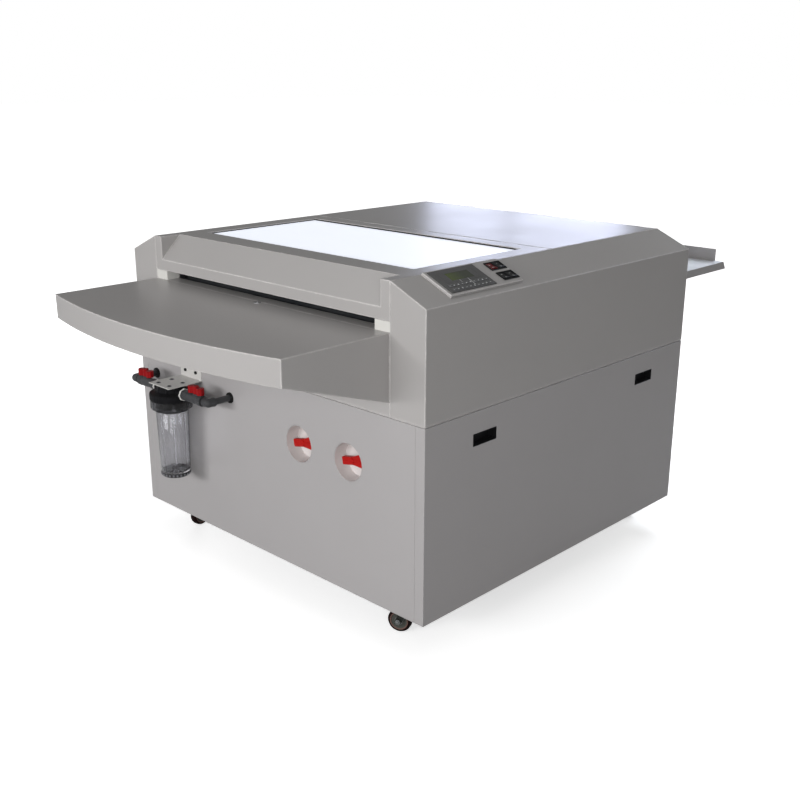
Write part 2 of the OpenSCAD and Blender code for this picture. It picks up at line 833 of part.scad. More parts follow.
module lobe() linear_extrude(lobe_h) polygon([
    [0, -lobe_w0 / 2], [handle_hub_r, -lobe_w0 / 2], [lobe_l - lobe_edge, -lobe_w1 / 2],
    [lobe_l, -lobe_w1 / 2 + lobe_edge], [lobe_l, lobe_w1 / 2 - lobe_edge],
    [lobe_l - lobe_edge, lobe_w1 / 2], [handle_hub_r, lobe_w0 / 2], [0, lobe_w0 / 2]]);

module filter_handle(side) color(red) at_filter()
    translate([side * valve_out, 0, pipe_z + hub_z]) difference() {
        union() {
            cylinder(r = handle_hub_r, h = lobe_h + hub_rise);
            lobe();
            mirror([1, 0, 0]) lobe();
        }
        translate([0, 0, -cut]) cylinder(r = stem_r + run, h = lobe_h + hub_rise + 2 * cut);
    }

module filter_handle_left() filter_handle(-1);
module filter_handle_right() filter_handle(1);

// Pipes turn from the valves into the panel, through rubber grommets
elbow_r = 13;
pipe_tail = 40;
grommet_lip = 4;
grommet_out = 5;
grommet_in = 3;

module filter_pipes() at_filter() for (side = [0, 1]) mirror([side, 0, 0])
    translate([pipe_out, 0, pipe_z]) {
        color(pvc) {
            bar_x(pipe_r, -elbow_l - stub_l, -elbow_l);
            bar_x(elbow_r, -elbow_l, 0);
            sphere(r = elbow_r);
            bar_y(elbow_r, 0, elbow_l);
            bar_y(pipe_r, elbow_l, filter_reach + pipe_tail);
        }
        color(black) translate([0, filter_reach, 0]) difference() {
            union() {
                bar_y(grommet_r + grommet_lip, -grommet_out, 0);
                bar_y(grommet_r - run, 0, sheet);
                bar_y(grommet_r + grommet_lip, sheet, sheet + grommet_in);
            }
            bar_y(pipe_r + run, -grommet_out - cut, sheet + grommet_in + cut);
        }
    }

// Drains: a cup set into the panel, a valve behind it and its handle inside

cup_wall = 2.5;
cup_flange = 8;
drain_stem_r = 6;
drain_stem_gap = 2;
drain_hub_y = 9;
// Turn of the drain handles from level
drain_rest = 12;
drain_grip_h = 14;
drain_hub_r = 10.5;
// The blade of the handle: half widths, where it flares, and its two ends
drain_tail = 36;
drain_tail_w = 11;
drain_flare = 4;
drain_grip = 42;
drain_grip_w = 19.5;

module drain_cups() color(pale) for (x = cup_xs) translate([x, 0, cup_z]) difference() {
    union() {
        bar_y(cup_r - run, 0, cup_d);
        bar_y(cup_r + cup_flange, sheet, sheet + cup_wall);
    }
    bar_y(cup_r - cup_wall, -cut, cup_d - cup_wall);
    bar_y(drain_stem_r + drain_stem_gap, 0, cup_d + cut);
}

// The closed front of a handle's hub, and the play before the stem's end
drain_cap = 2.5;
drain_end_gap = 0.3;
drain_body_r = 21;
drain_body_half = 48;
drain_neck_r = 16;
drain_neck_l = 12;
drain_pipe_r = 15;
drain_pipe_half = 108;

module drain_valves() color(pvc) for (x = cup_xs) translate([x, 0, cup_z]) {
    bar_y(drain_stem_r, drain_hub_y + drain_cap + drain_end_gap, cup_d + drain_neck_l);
    bar_y(drain_neck_r, cup_d, cup_d + drain_neck_l);
    translate([0, cup_d + drain_neck_l / 2 + drain_body_r, 0]) {
        translate([0, 0, -drain_body_half]) cylinder(r = drain_body_r, h = 2 * drain_body_half);
        translate([0, 0, -drain_pipe_half]) cylinder(r = drain_pipe_r, h = 2 * drain_pipe_half);
    }
}

module drain_blade() linear_extrude(drain_grip_h) polygon([
    [-drain_tail, -drain_tail_w], [drain_flare, -drain_tail_w],
    [drain_grip - lobe_edge, -drain_grip_w], [drain_grip, -drain_grip_w + lobe_edge],
    [drain_grip, drain_grip_w - lobe_edge], [drain_grip - lobe_edge, drain_grip_w],
    [drain_flare, drain_tail_w], [-drain_tail, drain_tail_w]]);

module drain_handle(x) color(red)
    translate([x, drain_hub_y + drain_grip_h + hub_rise, cup_z])
        rotate([90, 0, 0]) rotate([0, 0, drain_rest]) difference() {
            union() {
                cylinder(r = drain_hub_r, h = drain_grip_h + hub_rise);
                drain_blade();
            }
            translate([0, 0, -cut])
                cylinder(r = drain_stem_r + run, h = drain_grip_h + hub_rise - drain_cap + cut);
        }

module drain_handle_1() drain_handle(cup_x1);
module drain_handle_2() drain_handle(cup_x2);

// Castors: a fixed top plate with its swivel pin, a fork that swivels and a wheel

// Each castor's place and the way its wheel trails, in degrees from +X
castor_x = half - castor_in;
castors = [
    [castor_x, castor_y, 203],
    [-castor_x, castor_y, 95],
    [castor_x, body_d - castor_y, 80],
    [-castor_x, body_d - castor_y, 110]
];
plate_half = 45;
plate_t = 3;
king_r = 6;
king_head_r = 10;
king_head = 4;
king_gap = 0.4;
race_r = 20;
race_h = 5;
race_gap = 0.2;
fork_r = 24;
fork_t = 5;
fork_top = base_z - plate_t - race_h;
leg_t = 3;
leg_gap = 2;
leg_half = 15;
leg_root = 2;
leg_foot = 9;
leg_edge = 4;
axle_r = 5;
axle_out = 4;

module at_castor(i) translate([castors[i][0], castors[i][1], 0]) rotate([0, 0, castors[i][2]]) children();

module castor_plates() color(steel) for (i = [0 : 3]) translate([castors[i][0], castors[i][1], 0]) {
    box([-plate_half, -plate_half, base_z - plate_t], [plate_half, plate_half, base_z]);
    translate([0, 0, fork_top]) cylinder(r = race_r, h = race_h);
    translate([0, 0, fork_top - fork_t - king_head]) {
        cylinder(r = king_r, h = fork_t + king_head);
        cylinder(r = king_head_r, h = king_head - king_gap);
    }
}

module castor_fork(i) color(steel) at_castor(i) {
    z = fork_top - fork_t;
    y0 = wheel_w / 2 + leg_gap;
    difference() {
        translate([0, 0, z]) cylinder(r = fork_r, h = fork_t - race_gap);
        translate([0, 0, z - cut]) cylinder(r = king_r + run, h = fork_t + 2 * cut);
    }
    y1 = y0 + leg_t;
    for (side = [0, 1]) mirror([0, side, 0])
        along_y([[-leg_half, z + leg_root], [leg_half, z + leg_root],
                 [trail + leg_foot, wheel_r + leg_edge], [trail + leg_foot, wheel_r - leg_edge],
                 [trail + leg_edge, wheel_r - leg_foot], [trail - leg_edge, wheel_r - leg_foot],
                 [trail - leg_foot, wheel_r - leg_edge]], y0, y1);
    translate([trail, 0, wheel_r]) bar_y(axle_r, -y1 - axle_out, y1 + axle_out);
}

// Half the wheel's section from its middle plane out: tread, tyre, sunk disc and hub
hub_r = 12;
hub_out = 1;
disc_sink = 3;
tyre_t = 10;
tyre_slope = 2;
tread_in = 4;
tread_edge = 5;

function wheel_side(s) = [
    [wheel_r, s * (wheel_w / 2 - tread_edge)], [wheel_r - tread_in, s * wheel_w / 2],
    [wheel_r - tyre_t, s * wheel_w / 2],
    [wheel_r - tyre_t - tyre_slope, s * (wheel_w / 2 - disc_sink)],
    [hub_r, s * (wheel_w / 2 - disc_sink)], [hub_r, s * (wheel_w / 2 + hub_out)],
    [axle_r + run, s * (wheel_w / 2 + hub_out)]];

module castor_wheel(i) color(black) at_castor(i) translate([trail, 0, wheel_r]) rotate([90, 0, 0])
    rotate_extrude() polygon(concat(wheel_side(1), [for (k = [6 : -1 : 0]) wheel_side(-1)[k]]));

module castor_fork_1() castor_fork(0);
module castor_fork_2() castor_fork(1);
module castor_fork_3() castor_fork(2);
module castor_fork_4() castor_fork(3);
module castor_wheel_1() castor_wheel(0);
module castor_wheel_2() castor_wheel(1);
module castor_wheel_3() castor_wheel(2);
module castor_wheel_4() castor_wheel(3);

// Inside: two roller frames, the rollers in bushes, tanks below them and the drive

exit_y = body_d - exit_in;
low_z = path_z - nip / 2 - roller_r;
high_z = path_z + nip / 2 + roller_r;
brush_z = path_z + nip + brush_r;
// Axes of the rollers: [behind the front face, height]
axes = [[feed_y, low_z], [feed_y, high_z], [brush_y, brush_z], [exit_y, low_z], [exit_y, high_z]];
journal_r = 10;
bush_r = 15;
bush_flange = 3;
bush_lip = 4;
frame_front = 6;
frame_back = 40;
frame_y0 = block_d + frame_front;
frame_y1 = body_d - frame_back;
frame_top = beam_top - beam_h;
gear_m = 2.5;
gear_play = 0.3;
pair_teeth = 24;
drive_teeth = 36;
motor_teeth = 18;
motor_z = low_z - gear_m * (drive_teeth + motor_teeth) / 2 - gear_play;
motor_shaft_r = 6;
motor_hole_r = 8;

module roller_frames() color(steel) for (side = [0, 1]) mirror([side, 0, 0]) difference() {
    box([side_x, frame_y0, seam_z], [side_x + side_t, frame_y1, frame_top]);
    for (a = axes) translate([0, a[0], a[1]]) bar_x(bush_r, side_x - cut, side_x + side_t + cut);
    translate([0, feed_y, motor_z]) bar_x(motor_hole_r, side_x - cut, side_x + side_t + cut);
}

module roller_bearings() color(nylon) for (side = [0, 1], a = axes)
    mirror([side, 0, 0]) translate([0, a[0], a[1]]) difference() {
        union() {
            bar_x(bush_r, side_x, side_x + side_t);
            bar_x(bush_r + bush_lip, side_x - bush_flange, side_x);
        }
        bar_x(journal_r + run, side_x - bush_flange - cut, side_x + side_t + cut);
    }

tank_half = side_x - 6;
tank_wall = 4;
tank_drop = 8;
tank_over = 10;
tank_gap = 20;
tank_top = low_z - roller_r - tank_drop;
tank_mid = (body_d + angle_leg) / 2;
tank_ys = [[cross_in - tank_over, tank_mid - tank_gap / 2],
           [tank_mid + tank_gap / 2, body_d - cross_in + tank_over]];

module process_tanks() color(tank_grey) for (y = tank_ys) difference() {
    box([-tank_half, y[0], seam_z], [tank_half, y[1], tank_top]);
    box([-tank_half + tank_wall, y[0] + tank_wall, seam_z + tank_wall],
        [tank_half - tank_wall, y[1] - tank_wall, tank_top + cut]);
}

// Involute spur gear: tooth flanks from the base circle to the tip
function involute(base, a) = base * [cos(a) + a * PI / 180 * sin(a), sin(a) - a * PI / 180 * cos(a)];
function turned(p, a) = [p[0] * cos(a) - p[1] * sin(a), p[0] * sin(a) + p[1] * cos(a)];

module gear(teeth, width, bore) {
    pressure = 20;
    flank_thin = 0.65;
    flank_steps = 3;
    root_flare = 0.3;
    pitch = gear_m * teeth / 2;
    base = pitch * cos(pressure);
    tip = pitch + 0.9 * gear_m;
    root = pitch - 1.3 * gear_m;
    roll_tip = sqrt(pow(tip / base, 2) - 1) * 180 / PI;
    roll_root = root > base ? sqrt(pow(root / base, 2) - 1) * 180 / PI : 0;
    half_tooth = 90 / teeth - pressure + (tan(pressure) - flank_thin / pitch) * 180 / PI;
    flank = [for (i = [0 : flank_steps])
        turned(involute(base, roll_root + (roll_tip - roll_root) * i / flank_steps), -half_tooth)];
    tooth = concat([turned([root, 0], -half_tooth - root_flare)], flank,
        [for (i = [flank_steps : -1 : 0]) [flank[i][0], -flank[i][1]]],
        [turned([root, 0], half_tooth + root_flare)]);
    difference() {
        linear_extrude(width)
            polygon([for (k = [0 : teeth - 1]) for (p = tooth) turned(p, k * 360 / teeth)]);
        translate([0, 0, -cut]) cylinder(r = bore, h = width + 2 * cut);
    }
}

// A gear on an axis along X, with a tooth pointing up at phase 0
module gear_x(teeth, x, width, bore, phase)
    translate([x, 0, 0]) rotate([0, 90, 0]) rotate([0, 0, 180 + phase]) gear(teeth, width, bore);

sleeve_gap = 3;
sleeve_half = side_x - bush_flange - sleeve_gap;
drive_gap = 4;
chain_x = side_x + side_t + drive_gap;
chain_w = 8;
sprocket_r = 24;
gear_gap = 3;
gear_x0 = chain_x;
gear_w = 12;
drive_gear_x = chain_x + chain_w + gear_gap;
shaft_end = gear_x0 + gear_w + cut;
journal_end = side_x + side_t + drive_gap / 2;

module roller(sleeve_r, left, right) {
    bar_x(sleeve_r, -sleeve_half, sleeve_half);
    bar_x(journal_r, -left, right);
}

module feed_roller_lower() color(black) translate([0, feed_y, low_z]) {
    roller(roller_r, shaft_end, drive_gear_x + gear_w);
    gear_x(pair_teeth, -gear_x0 - gear_w, gear_w, journal_r - cut, 0);
    bar_x(sprocket_r, chain_x, chain_x + chain_w);
    gear_x(drive_teeth, drive_gear_x, gear_w, journal_r - cut, 0);
}

module feed_roller_upper() color(black) translate([0, feed_y, high_z]) {
    roller(roller_r, shaft_end, journal_end);
    gear_x(pair_teeth, -gear_x0 - gear_w, gear_w, journal_r - cut, 180 / pair_teeth);
}

chain_gap = 0.4;
chain_t = 5;
brush_sprocket_r = brush_z - low_z - sprocket_r - 2 * chain_gap - chain_t;

module brush_roller() color(bristle) translate([0, brush_y, brush_z]) {
    roller(brush_r, journal_end, chain_x + chain_w);
    bar_x(brush_sprocket_r, chain_x, chain_x + chain_w);
}

module exit_roller_lower() color(black) translate([0, exit_y, low_z]) {
    roller(roller_r, shaft_end, chain_x + chain_w);
    gear_x(pair_teeth, -gear_x0 - gear_w, gear_w, journal_r - cut, 0);
    bar_x(sprocket_r, chain_x, chain_x + chain_w);
}

module exit_roller_upper() color(black) translate([0, exit_y, high_z]) {
    roller(roller_r, shaft_end, journal_end);
    gear_x(pair_teeth, -gear_x0 - gear_w, gear_w, journal_r - cut, 180 / pair_teeth);
}

module chain_loop(r, x0, x1) {
    for (y = [feed_y, exit_y]) translate([0, y, low_z]) bar_x(r, x0, x1);
    box([x0, feed_y, low_z - r], [x1, exit_y, low_z + r]);
}

module drive_chain() color(steel) difference() {
    chain_loop(sprocket_r + chain_gap + chain_t, chain_x, chain_x + chain_w);
    chain_loop(sprocket_r + chain_gap, chain_x - cut, chain_x + chain_w + cut);
}

motor_r = 36;
motor_l = 150;
motor_flange = 6;
motor_bore = 40;

module drive_motor() color(paint_dark) translate([0, feed_y, motor_z]) difference() {
    union() {
        bar_x(motor_r, side_x - motor_l, side_x - motor_flange);
        box([side_x - motor_flange, -motor_r, -motor_r], [side_x, motor_r, motor_r]);
    }
    bar_x(motor_shaft_r + run, side_x - motor_bore, side_x + cut);
}

module motor_gear() color(steel) translate([0, feed_y, motor_z]) {
    bar_x(motor_shaft_r, side_x - motor_bore + cut, drive_gear_x + gear_w);
    gear_x(motor_teeth, drive_gear_x, gear_w, motor_shaft_r - cut, 180 / motor_teeth);
}

place() base_frame();
place() front_panel();
place() left_panel();
place() right_panel();
place() rear_panel();
place() side_pulls();
place() left_cheek();
place() right_cheek();
place() front_apron();
place() slot_end_blocks();
place() rear_apron();
place() center_beam();
place() feed_table();
place() exit_tray();
place() exit_stop();
place() front_lid();
place() lid_window();
place() rear_lid();
place() hinge_pins();
place() control_plate();
place() display_bezel();
place() display_screen();
place() switch_bezels();
place() rocker_1();
place() rocker_2();
place() rocker_3();
place() rocker_4();
place() filter_bracket();
place() filter_head();
place() filter_bowl();
place() filter_valves();
place() port_nuts();
place() filter_handle_left();
place() filter_handle_right();
place() filter_pipes();
place() drain_cups();
place() drain_valves();
place() drain_handle_1();
place() drain_handle_2();
place() mains_gland();
place() castor_plates();
place() castor_fork_1();
place() castor_fork_2();
place() castor_fork_3();
place() castor_fork_4();
place() castor_wheel_1();
place() castor_wheel_2();
place() castor_wheel_3();
place() castor_wheel_4();
place() roller_frames();
place() roller_bearings();
place() process_tanks();
place() feed_roller_lower();
place() feed_roller_upper();
place() brush_roller();
place() exit_roller_lower();
place() exit_roller_upper();
place() drive_chain();
place() drive_motor();
place() motor_gear();
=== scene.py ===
# Printing plate processor: a sheet-metal cabinet on castors with a bowed feed table, hinged
# lids over driven rollers, an exit tray and a water filter. Metres, in the part's own frame.
import math

import bmesh
import bpy
from mathutils import Matrix, Vector


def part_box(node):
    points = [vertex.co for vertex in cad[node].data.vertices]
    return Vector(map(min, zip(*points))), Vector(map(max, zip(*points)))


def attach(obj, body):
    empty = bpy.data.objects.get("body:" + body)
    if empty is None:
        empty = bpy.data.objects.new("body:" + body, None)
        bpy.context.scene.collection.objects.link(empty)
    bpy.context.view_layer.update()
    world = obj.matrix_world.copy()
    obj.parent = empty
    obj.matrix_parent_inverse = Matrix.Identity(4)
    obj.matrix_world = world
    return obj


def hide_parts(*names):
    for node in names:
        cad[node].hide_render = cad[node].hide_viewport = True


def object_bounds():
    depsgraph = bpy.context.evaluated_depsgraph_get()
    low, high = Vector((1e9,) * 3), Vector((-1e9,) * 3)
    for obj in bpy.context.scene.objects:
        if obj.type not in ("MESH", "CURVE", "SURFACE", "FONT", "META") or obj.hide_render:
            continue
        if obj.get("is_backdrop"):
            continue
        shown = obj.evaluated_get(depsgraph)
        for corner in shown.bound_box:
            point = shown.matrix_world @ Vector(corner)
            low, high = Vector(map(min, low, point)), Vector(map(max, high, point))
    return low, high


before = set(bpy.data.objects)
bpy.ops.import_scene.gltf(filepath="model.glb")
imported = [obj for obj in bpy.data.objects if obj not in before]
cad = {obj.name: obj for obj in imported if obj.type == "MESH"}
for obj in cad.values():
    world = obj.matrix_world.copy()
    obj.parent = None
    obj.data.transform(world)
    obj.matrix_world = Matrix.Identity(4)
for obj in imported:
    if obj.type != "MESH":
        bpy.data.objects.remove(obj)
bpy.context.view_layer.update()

# Frame: angle steel welded into a box round a sheet floor, and a cross beam under the lids.
# It is sprayed in a darker grey, lightened along its edges: partly worn paint, partly a painted highlight.


def add_node(tree, kind, setup=None, **sockets):
    made = tree.nodes.new("ShaderNode" + kind)
    for key, value in (setup or {}).items():
        setattr(made, key, value)
    for key, value in sockets.items():
        socket = made.inputs[int(key[1:]) if key.startswith("_") else key.replace("_", " ")]
        if isinstance(value, bpy.types.NodeSocket):
            tree.links.new(value, socket)
        else:
            socket.default_value = value
    return made


def effect(name, inputs, outputs):
    group = bpy.data.node_groups.new(name, "ShaderNodeTree")
    for label, kind, value in inputs:
        group.interface.new_socket(label, in_out="INPUT", socket_type="NodeSocket" + kind).default_value = value
    for label, kind in outputs:
        group.interface.new_socket(label, in_out="OUTPUT", socket_type="NodeSocket" + kind)
    return group, group.nodes.new("NodeGroupInput").outputs, group.nodes.new("NodeGroupOutput").inputs


def use_effect(tree, group, **sockets):
    made = tree.nodes.new("ShaderNodeGroup")
    made.node_tree = group
    for key, value in sockets.items():
        if isinstance(value, bpy.types.NodeSocket):
            tree.links.new(value, made.inputs[key])
        else:
            made.inputs[key].default_value = value
    return made.outputs


def maths(tree, operation, a, b, clamp=False):
    return add_node(tree, "Math", {"operation": operation, "use_clamp": clamp}, _0=a, _1=b).outputs[0]


def mixed(tree, share, a, b):
    return add_node(tree, "Mix", {"data_type": "RGBA"}, _0=share, _6=a, _7=b).outputs[2]


# Sprayed coat: slow clouds of tone, fine specks, and the peel that powder leaves when baked.
sprayed, coat_in, coat_out = effect(
    "sprayed_coat",
    [("Color", "Color", (0.5, 0.5, 0.5, 1)), ("Clouds", "Float", 0.05), ("Specks", "Float", 0.04),
     ("Gloss", "Float", 0.4)],
    [("Color", "Color"), ("Roughness", "Float"), ("Height", "Float")])
where = add_node(sprayed, "TexCoord").outputs["Object"]
clouds = add_node(sprayed, "TexNoise", Vector=where, Scale=3.1, Detail=4.0, Roughness=0.55).outputs["Fac"]
specks = add_node(sprayed, "TexNoise", Vector=where, Scale=850.0, Detail=1.0).outputs["Fac"]
peel = add_node(sprayed, "TexNoise", Vector=where, Scale=420.0, Detail=2.0).outputs["Fac"]
drift = maths(sprayed, "MULTIPLY", maths(sprayed, "SUBTRACT", clouds, 0.5), coat_in["Clouds"])
fleck = maths(sprayed, "MULTIPLY", maths(sprayed, "SUBTRACT", specks, 0.5), coat_in["Specks"])
tone = maths(sprayed, "ADD", maths(sprayed, "ADD", drift, fleck), 1.0)
tinted = add_node(sprayed, "VectorMath", {"operation": "SCALE"}, Vector=coat_in["Color"], Scale=tone)
sprayed.links.new(tinted.outputs[0], coat_out["Color"])
haze = maths(sprayed, "MULTIPLY", maths(sprayed, "SUBTRACT", clouds, 0.5), 0.12)
sprayed.links.new(maths(sprayed, "ADD", coat_in["Gloss"], haze, True), coat_out["Roughness"])
sprayed.links.new(peel, coat_out["Height"])

# Edge wear and glint: a mask where two faces meet, broken up as rubbing leaves it, and the rounded
# normal that a bend in sheet or a moulded corner has.
wear_and_glint, wear_and_glint_in, wear_and_glint_out = effect(
    "edge_wear_and_glint", [("Radius", "Float", 0.002), ("Amount", "Float", 1.0)], [("Mask", "Float"), ("Normal", "Vector")])
rounded = add_node(wear_and_glint, "Bevel", {"samples": 4}, Radius=wear_and_glint_in["Radius"]).outputs["Normal"]
flat = add_node(wear_and_glint, "NewGeometry").outputs["True Normal"]
meet = add_node(wear_and_glint, "VectorMath", {"operation": "DOT_PRODUCT"}, _0=rounded, _1=flat).outputs["Value"]
edge = add_node(wear_and_glint, "MapRange", _0=meet, _1=0.995, _2=0.93, _3=0.0, _4=1.0).outputs["Result"]
wear_and_glint_at = add_node(wear_and_glint, "TexCoord").outputs["Object"]
rub = add_node(wear_and_glint, "TexNoise", Vector=wear_and_glint_at, Scale=38.0, Detail=5.0).outputs["Fac"]
rub = add_node(wear_and_glint, "MapRange", _0=rub, _1=0.36, _2=0.62, _3=0.6, _4=1.0).outputs["Result"]
# Finishes lighten their colour under this mask: partly wear, partly a painted highlight on folds.
bared_and_glinting = maths(wear_and_glint, "MULTIPLY", edge, rub)
wear_and_glint.links.new(maths(wear_and_glint, "MULTIPLY", bared_and_glinting, wear_and_glint_in["Amount"], True), wear_and_glint_out["Mask"])
wear_and_glint.links.new(rounded, wear_and_glint_out["Normal"])

# Settled dust: thin patches on whatever faces up.
dust, dust_in, dust_out = effect("settled_dust", [("Amount", "Float", 0.2)], [("Mask", "Float")])
dust_at = add_node(dust, "TexCoord").outputs
upward = add_node(dust, "SeparateXYZ", Vector=dust_at["Normal"]).outputs["Z"]
upward = add_node(dust, "MapRange", _0=upward, _1=0.5, _2=1.0).outputs["Result"]
patch = add_node(dust, "TexNoise", Vector=dust_at["Object"], Scale=9.0, Detail=6.0, Roughness=0.7).outputs["Fac"]
patch = add_node(dust, "MapRange", _0=patch, _1=0.42, _2=0.75).outputs["Result"]
settled = maths(dust, "MULTIPLY", upward, patch)
dust.links.new(maths(dust, "MULTIPLY", settled, dust_in["Amount"], True), dust_out["Mask"])


def new_finish(name):
    finish = bpy.data.materials.new(name)
    finish.use_nodes = True
    return finish, finish.node_tree, finish.node_tree.nodes["Principled BSDF"]


def paint(name, color, gloss, bend, worn_glint_lift):
    finish, tree, shader = new_finish(name)
    coat = use_effect(tree, sprayed, Color=color, Clouds=0.07, Specks=0.05, Gloss=gloss)
    edge_wear_glint = use_effect(tree, wear_and_glint, Radius=bend, Amount=0.9)
    # Painted highlight: edges lighten, partly as wear and partly as the glint of a fold.
    worn_glint_tone = [min(1.0, c * worn_glint_lift) for c in color[:3]] + [1]
    shade = mixed(tree, edge_wear_glint["Mask"], coat["Color"], worn_glint_tone)
    shade = mixed(tree, use_effect(tree, dust, Amount=0.10)["Mask"], shade, (0.42, 0.40, 0.37, 1))
    tree.links.new(shade, shader.inputs["Base Color"])
    tree.links.new(coat["Roughness"], shader.inputs["Roughness"])
    bumped = add_node(tree, "Bump", Strength=0.06, Distance=0.0004, Height=coat["Height"], Normal=edge_wear_glint["Normal"])
    tree.links.new(bumped.outputs["Normal"], shader.inputs["Normal"])
    shader.inputs["Specular IOR Level"].default_value = 0.42
    return finish


def dress(names, finish, edge=0.0006):
    for name in names.split():
        made = cad[name]
        made.data.materials.clear()
        made.data.materials.append(finish)
        made.modifiers.new("weld", "WELD").merge_threshold = 0.00001
        soft = made.modifiers.new("edge", "BEVEL")
        soft.width, soft.segments, soft.limit_method = edge, 2, "ANGLE"
        soft.angle_limit = math.radians(40)
        soft.use_clamp_overlap = True
        made.modifiers.new("shade", "WEIGHTED_NORMAL").weight = 80


frame_paint = paint("frame_paint", (0.24, 0.24, 0.245, 1), 0.5, 0.0015, 1.4)
dress("base_frame center_beam", frame_paint, 0.0008)

# Castors: a zinc-plated top plate bolted under each corner, a pressed fork that swivels on it,
# and a wheel with a dark rubber tyre on a grey disc, held by a nut on its axle.


def lathe(profile, steps, ribs=None):
    points, faces, rings = [], [], []
    for k, (r, z) in enumerate(profile):
        ring = []
        for i in range(steps if r > 1e-6 else 1):
            a = 2 * math.pi * i / steps
            q = r + (ribs(a, k) if ribs else 0)
            ring.append(len(points))
            points.append((q * math.cos(a), q * math.sin(a), z))
        rings.append(ring)
    for k, (low, high) in enumerate(zip(rings, rings[1:])):
        for i in range(steps):
            j = (i + 1) % steps
            corners = [low[i % len(low)], low[j % len(low)], high[j % len(high)], high[i % len(high)]]
            corners = list(dict.fromkeys(corners))
            if len(corners) > 2:
                faces.append((corners, k))
    return points, faces


def prism(outline, z0, z1):
    n = len(outline)
    points = [(x, y, z) for z in (z0, z1) for x, y in outline]
    faces = [(list(range(n))[::-1], 0), (list(range(n, 2 * n)), 0)]
    faces += [([i, (i + 1) % n, n + (i + 1) % n, n + i], 0) for i in range(n)]
    return points, faces


def ring_of(n, r):
    turns = [2 * math.pi * i / n for i in range(n)]
    return [(r * math.cos(a), r * math.sin(a)) for a in turns]


def make(name, parts, finishes, body, stands_for=(), crisp=35, soft=0.0):
    mesh = bmesh.new()
    for (points, faces), place, finish in parts:
        corners = [mesh.verts.new(place @ Vector(p)) for p in points]
        for loop, band in faces:
            face = mesh.faces.new([corners[i] for i in loop])
            face.material_index = finish[band] if isinstance(finish, (list, tuple)) else finish
            face.smooth = True
    bmesh.ops.remove_doubles(mesh, verts=mesh.verts, dist=0.000002)
    bmesh.ops.recalc_face_normals(mesh, faces=mesh.faces)
    data = bpy.data.meshes.new(name)
    mesh.to_mesh(data)
    mesh.free()
    data.set_sharp_from_angle(angle=math.radians(crisp))
    for finish in finishes:
        data.materials.append(finish)
    made = bpy.data.objects.new(name, data)
    bpy.context.scene.collection.objects.link(made)
    if soft:
        bend = made.modifiers.new("edge", "BEVEL")
        bend.width, bend.segments, bend.limit_method = soft, 3, "ANGLE"
        bend.angle_limit = math.radians(35)
        made.modifiers.new("shade", "WEIGHTED_NORMAL").weight = 60
    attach(made, body)
    if stands_for:
        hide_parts(*stands_for)


# Zinc plating: crystals of slightly different grey, and rub marks along the part.
zinc_coat, zinc_in, zinc_out = effect(
    "zinc_crystals", [("Color", "Color", (0.6, 0.6, 0.6, 1)), ("Size", "Float", 120.0), ("Gloss", "Float", 0.35)],
    [("Color", "Color"), ("Roughness", "Float"), ("Height", "Float")])
zinc_at = add_node(zinc_coat, "TexCoord").outputs["Object"]
crystal = add_node(zinc_coat, "TexVoronoi", Vector=zinc_at, Scale=zinc_in["Size"]).outputs["Color"]
grey = add_node(zinc_coat, "SeparateXYZ", Vector=crystal).outputs["X"]
rubbed = add_node(zinc_coat, "TexNoise", Vector=zinc_at, Scale=30.0, Detail=6.0, Roughness=0.65).outputs["Fac"]
level = maths(zinc_coat, "ADD", maths(zinc_coat, "MULTIPLY", grey, 0.16), maths(zinc_coat, "MULTIPLY", rubbed, 0.35))
level = maths(zinc_coat, "ADD", level, 0.72)
plated = add_node(zinc_coat, "VectorMath", {"operation": "SCALE"}, Vector=zinc_in["Color"], Scale=level)
zinc_coat.links.new(plated.outputs[0], zinc_out["Color"])
sheen = maths(zinc_coat, "MULTIPLY", maths(zinc_coat, "SUBTRACT", rubbed, 0.5), 0.3)
zinc_coat.links.new(maths(zinc_coat, "ADD", zinc_in["Gloss"], sheen, True), zinc_out["Roughness"])
zinc_coat.links.new(rubbed, zinc_out["Height"])


def metal(name, color, size, gloss):
    finish, tree, shader = new_finish(name)
    coat = use_effect(tree, zinc_coat, Color=color, Size=size, Gloss=gloss)
    edge_wear_glint = use_effect(tree, wear_and_glint, Radius=0.001, Amount=0.5)
    # Edges turn paler: partly worn plating, partly a painted highlight.
    tree.links.new(mixed(tree, edge_wear_glint["Mask"], coat["Color"], (0.86, 0.86, 0.87, 1)), shader.inputs["Base Color"])
    tree.links.new(coat["Roughness"], shader.inputs["Roughness"])
    bumped = add_node(tree, "Bump", Strength=0.08, Distance=0.0003, Height=coat["Height"], Normal=edge_wear_glint["Normal"])
    tree.links.new(bumped.outputs["Normal"], shader.inputs["Normal"])
    shader.inputs["Metallic"].default_value = 1.0
    return finish


# Moulded surface: the fine spark grain of a mould and the grey bloom that handling leaves.
moulded, mould_in, mould_out = effect(
    "moulded_grain",
    [("Color", "Color", (0.1, 0.1, 0.1, 1)), ("Grain", "Float", 900.0), ("Gloss", "Float", 0.4),
     ("Bloom", "Float", 0.1)],
    [("Color", "Color"), ("Roughness", "Float"), ("Height", "Float")])
mould_at = add_node(moulded, "TexCoord").outputs["Object"]
spark = add_node(moulded, "TexNoise", Vector=mould_at, Scale=mould_in["Grain"], Detail=2.0).outputs["Fac"]
handled = add_node(moulded, "TexNoise", Vector=mould_at, Scale=26.0, Detail=5.0, Roughness=0.6).outputs["Fac"]
bloom = maths(moulded, "MULTIPLY", maths(moulded, "SUBTRACT", handled, 0.4), mould_in["Bloom"])
bloom = maths(moulded, "ADD", bloom, 1.0)
bloomed = add_node(moulded, "VectorMath", {"operation": "SCALE"}, Vector=mould_in["Color"], Scale=bloom)
moulded.links.new(bloomed.outputs[0], mould_out["Color"])
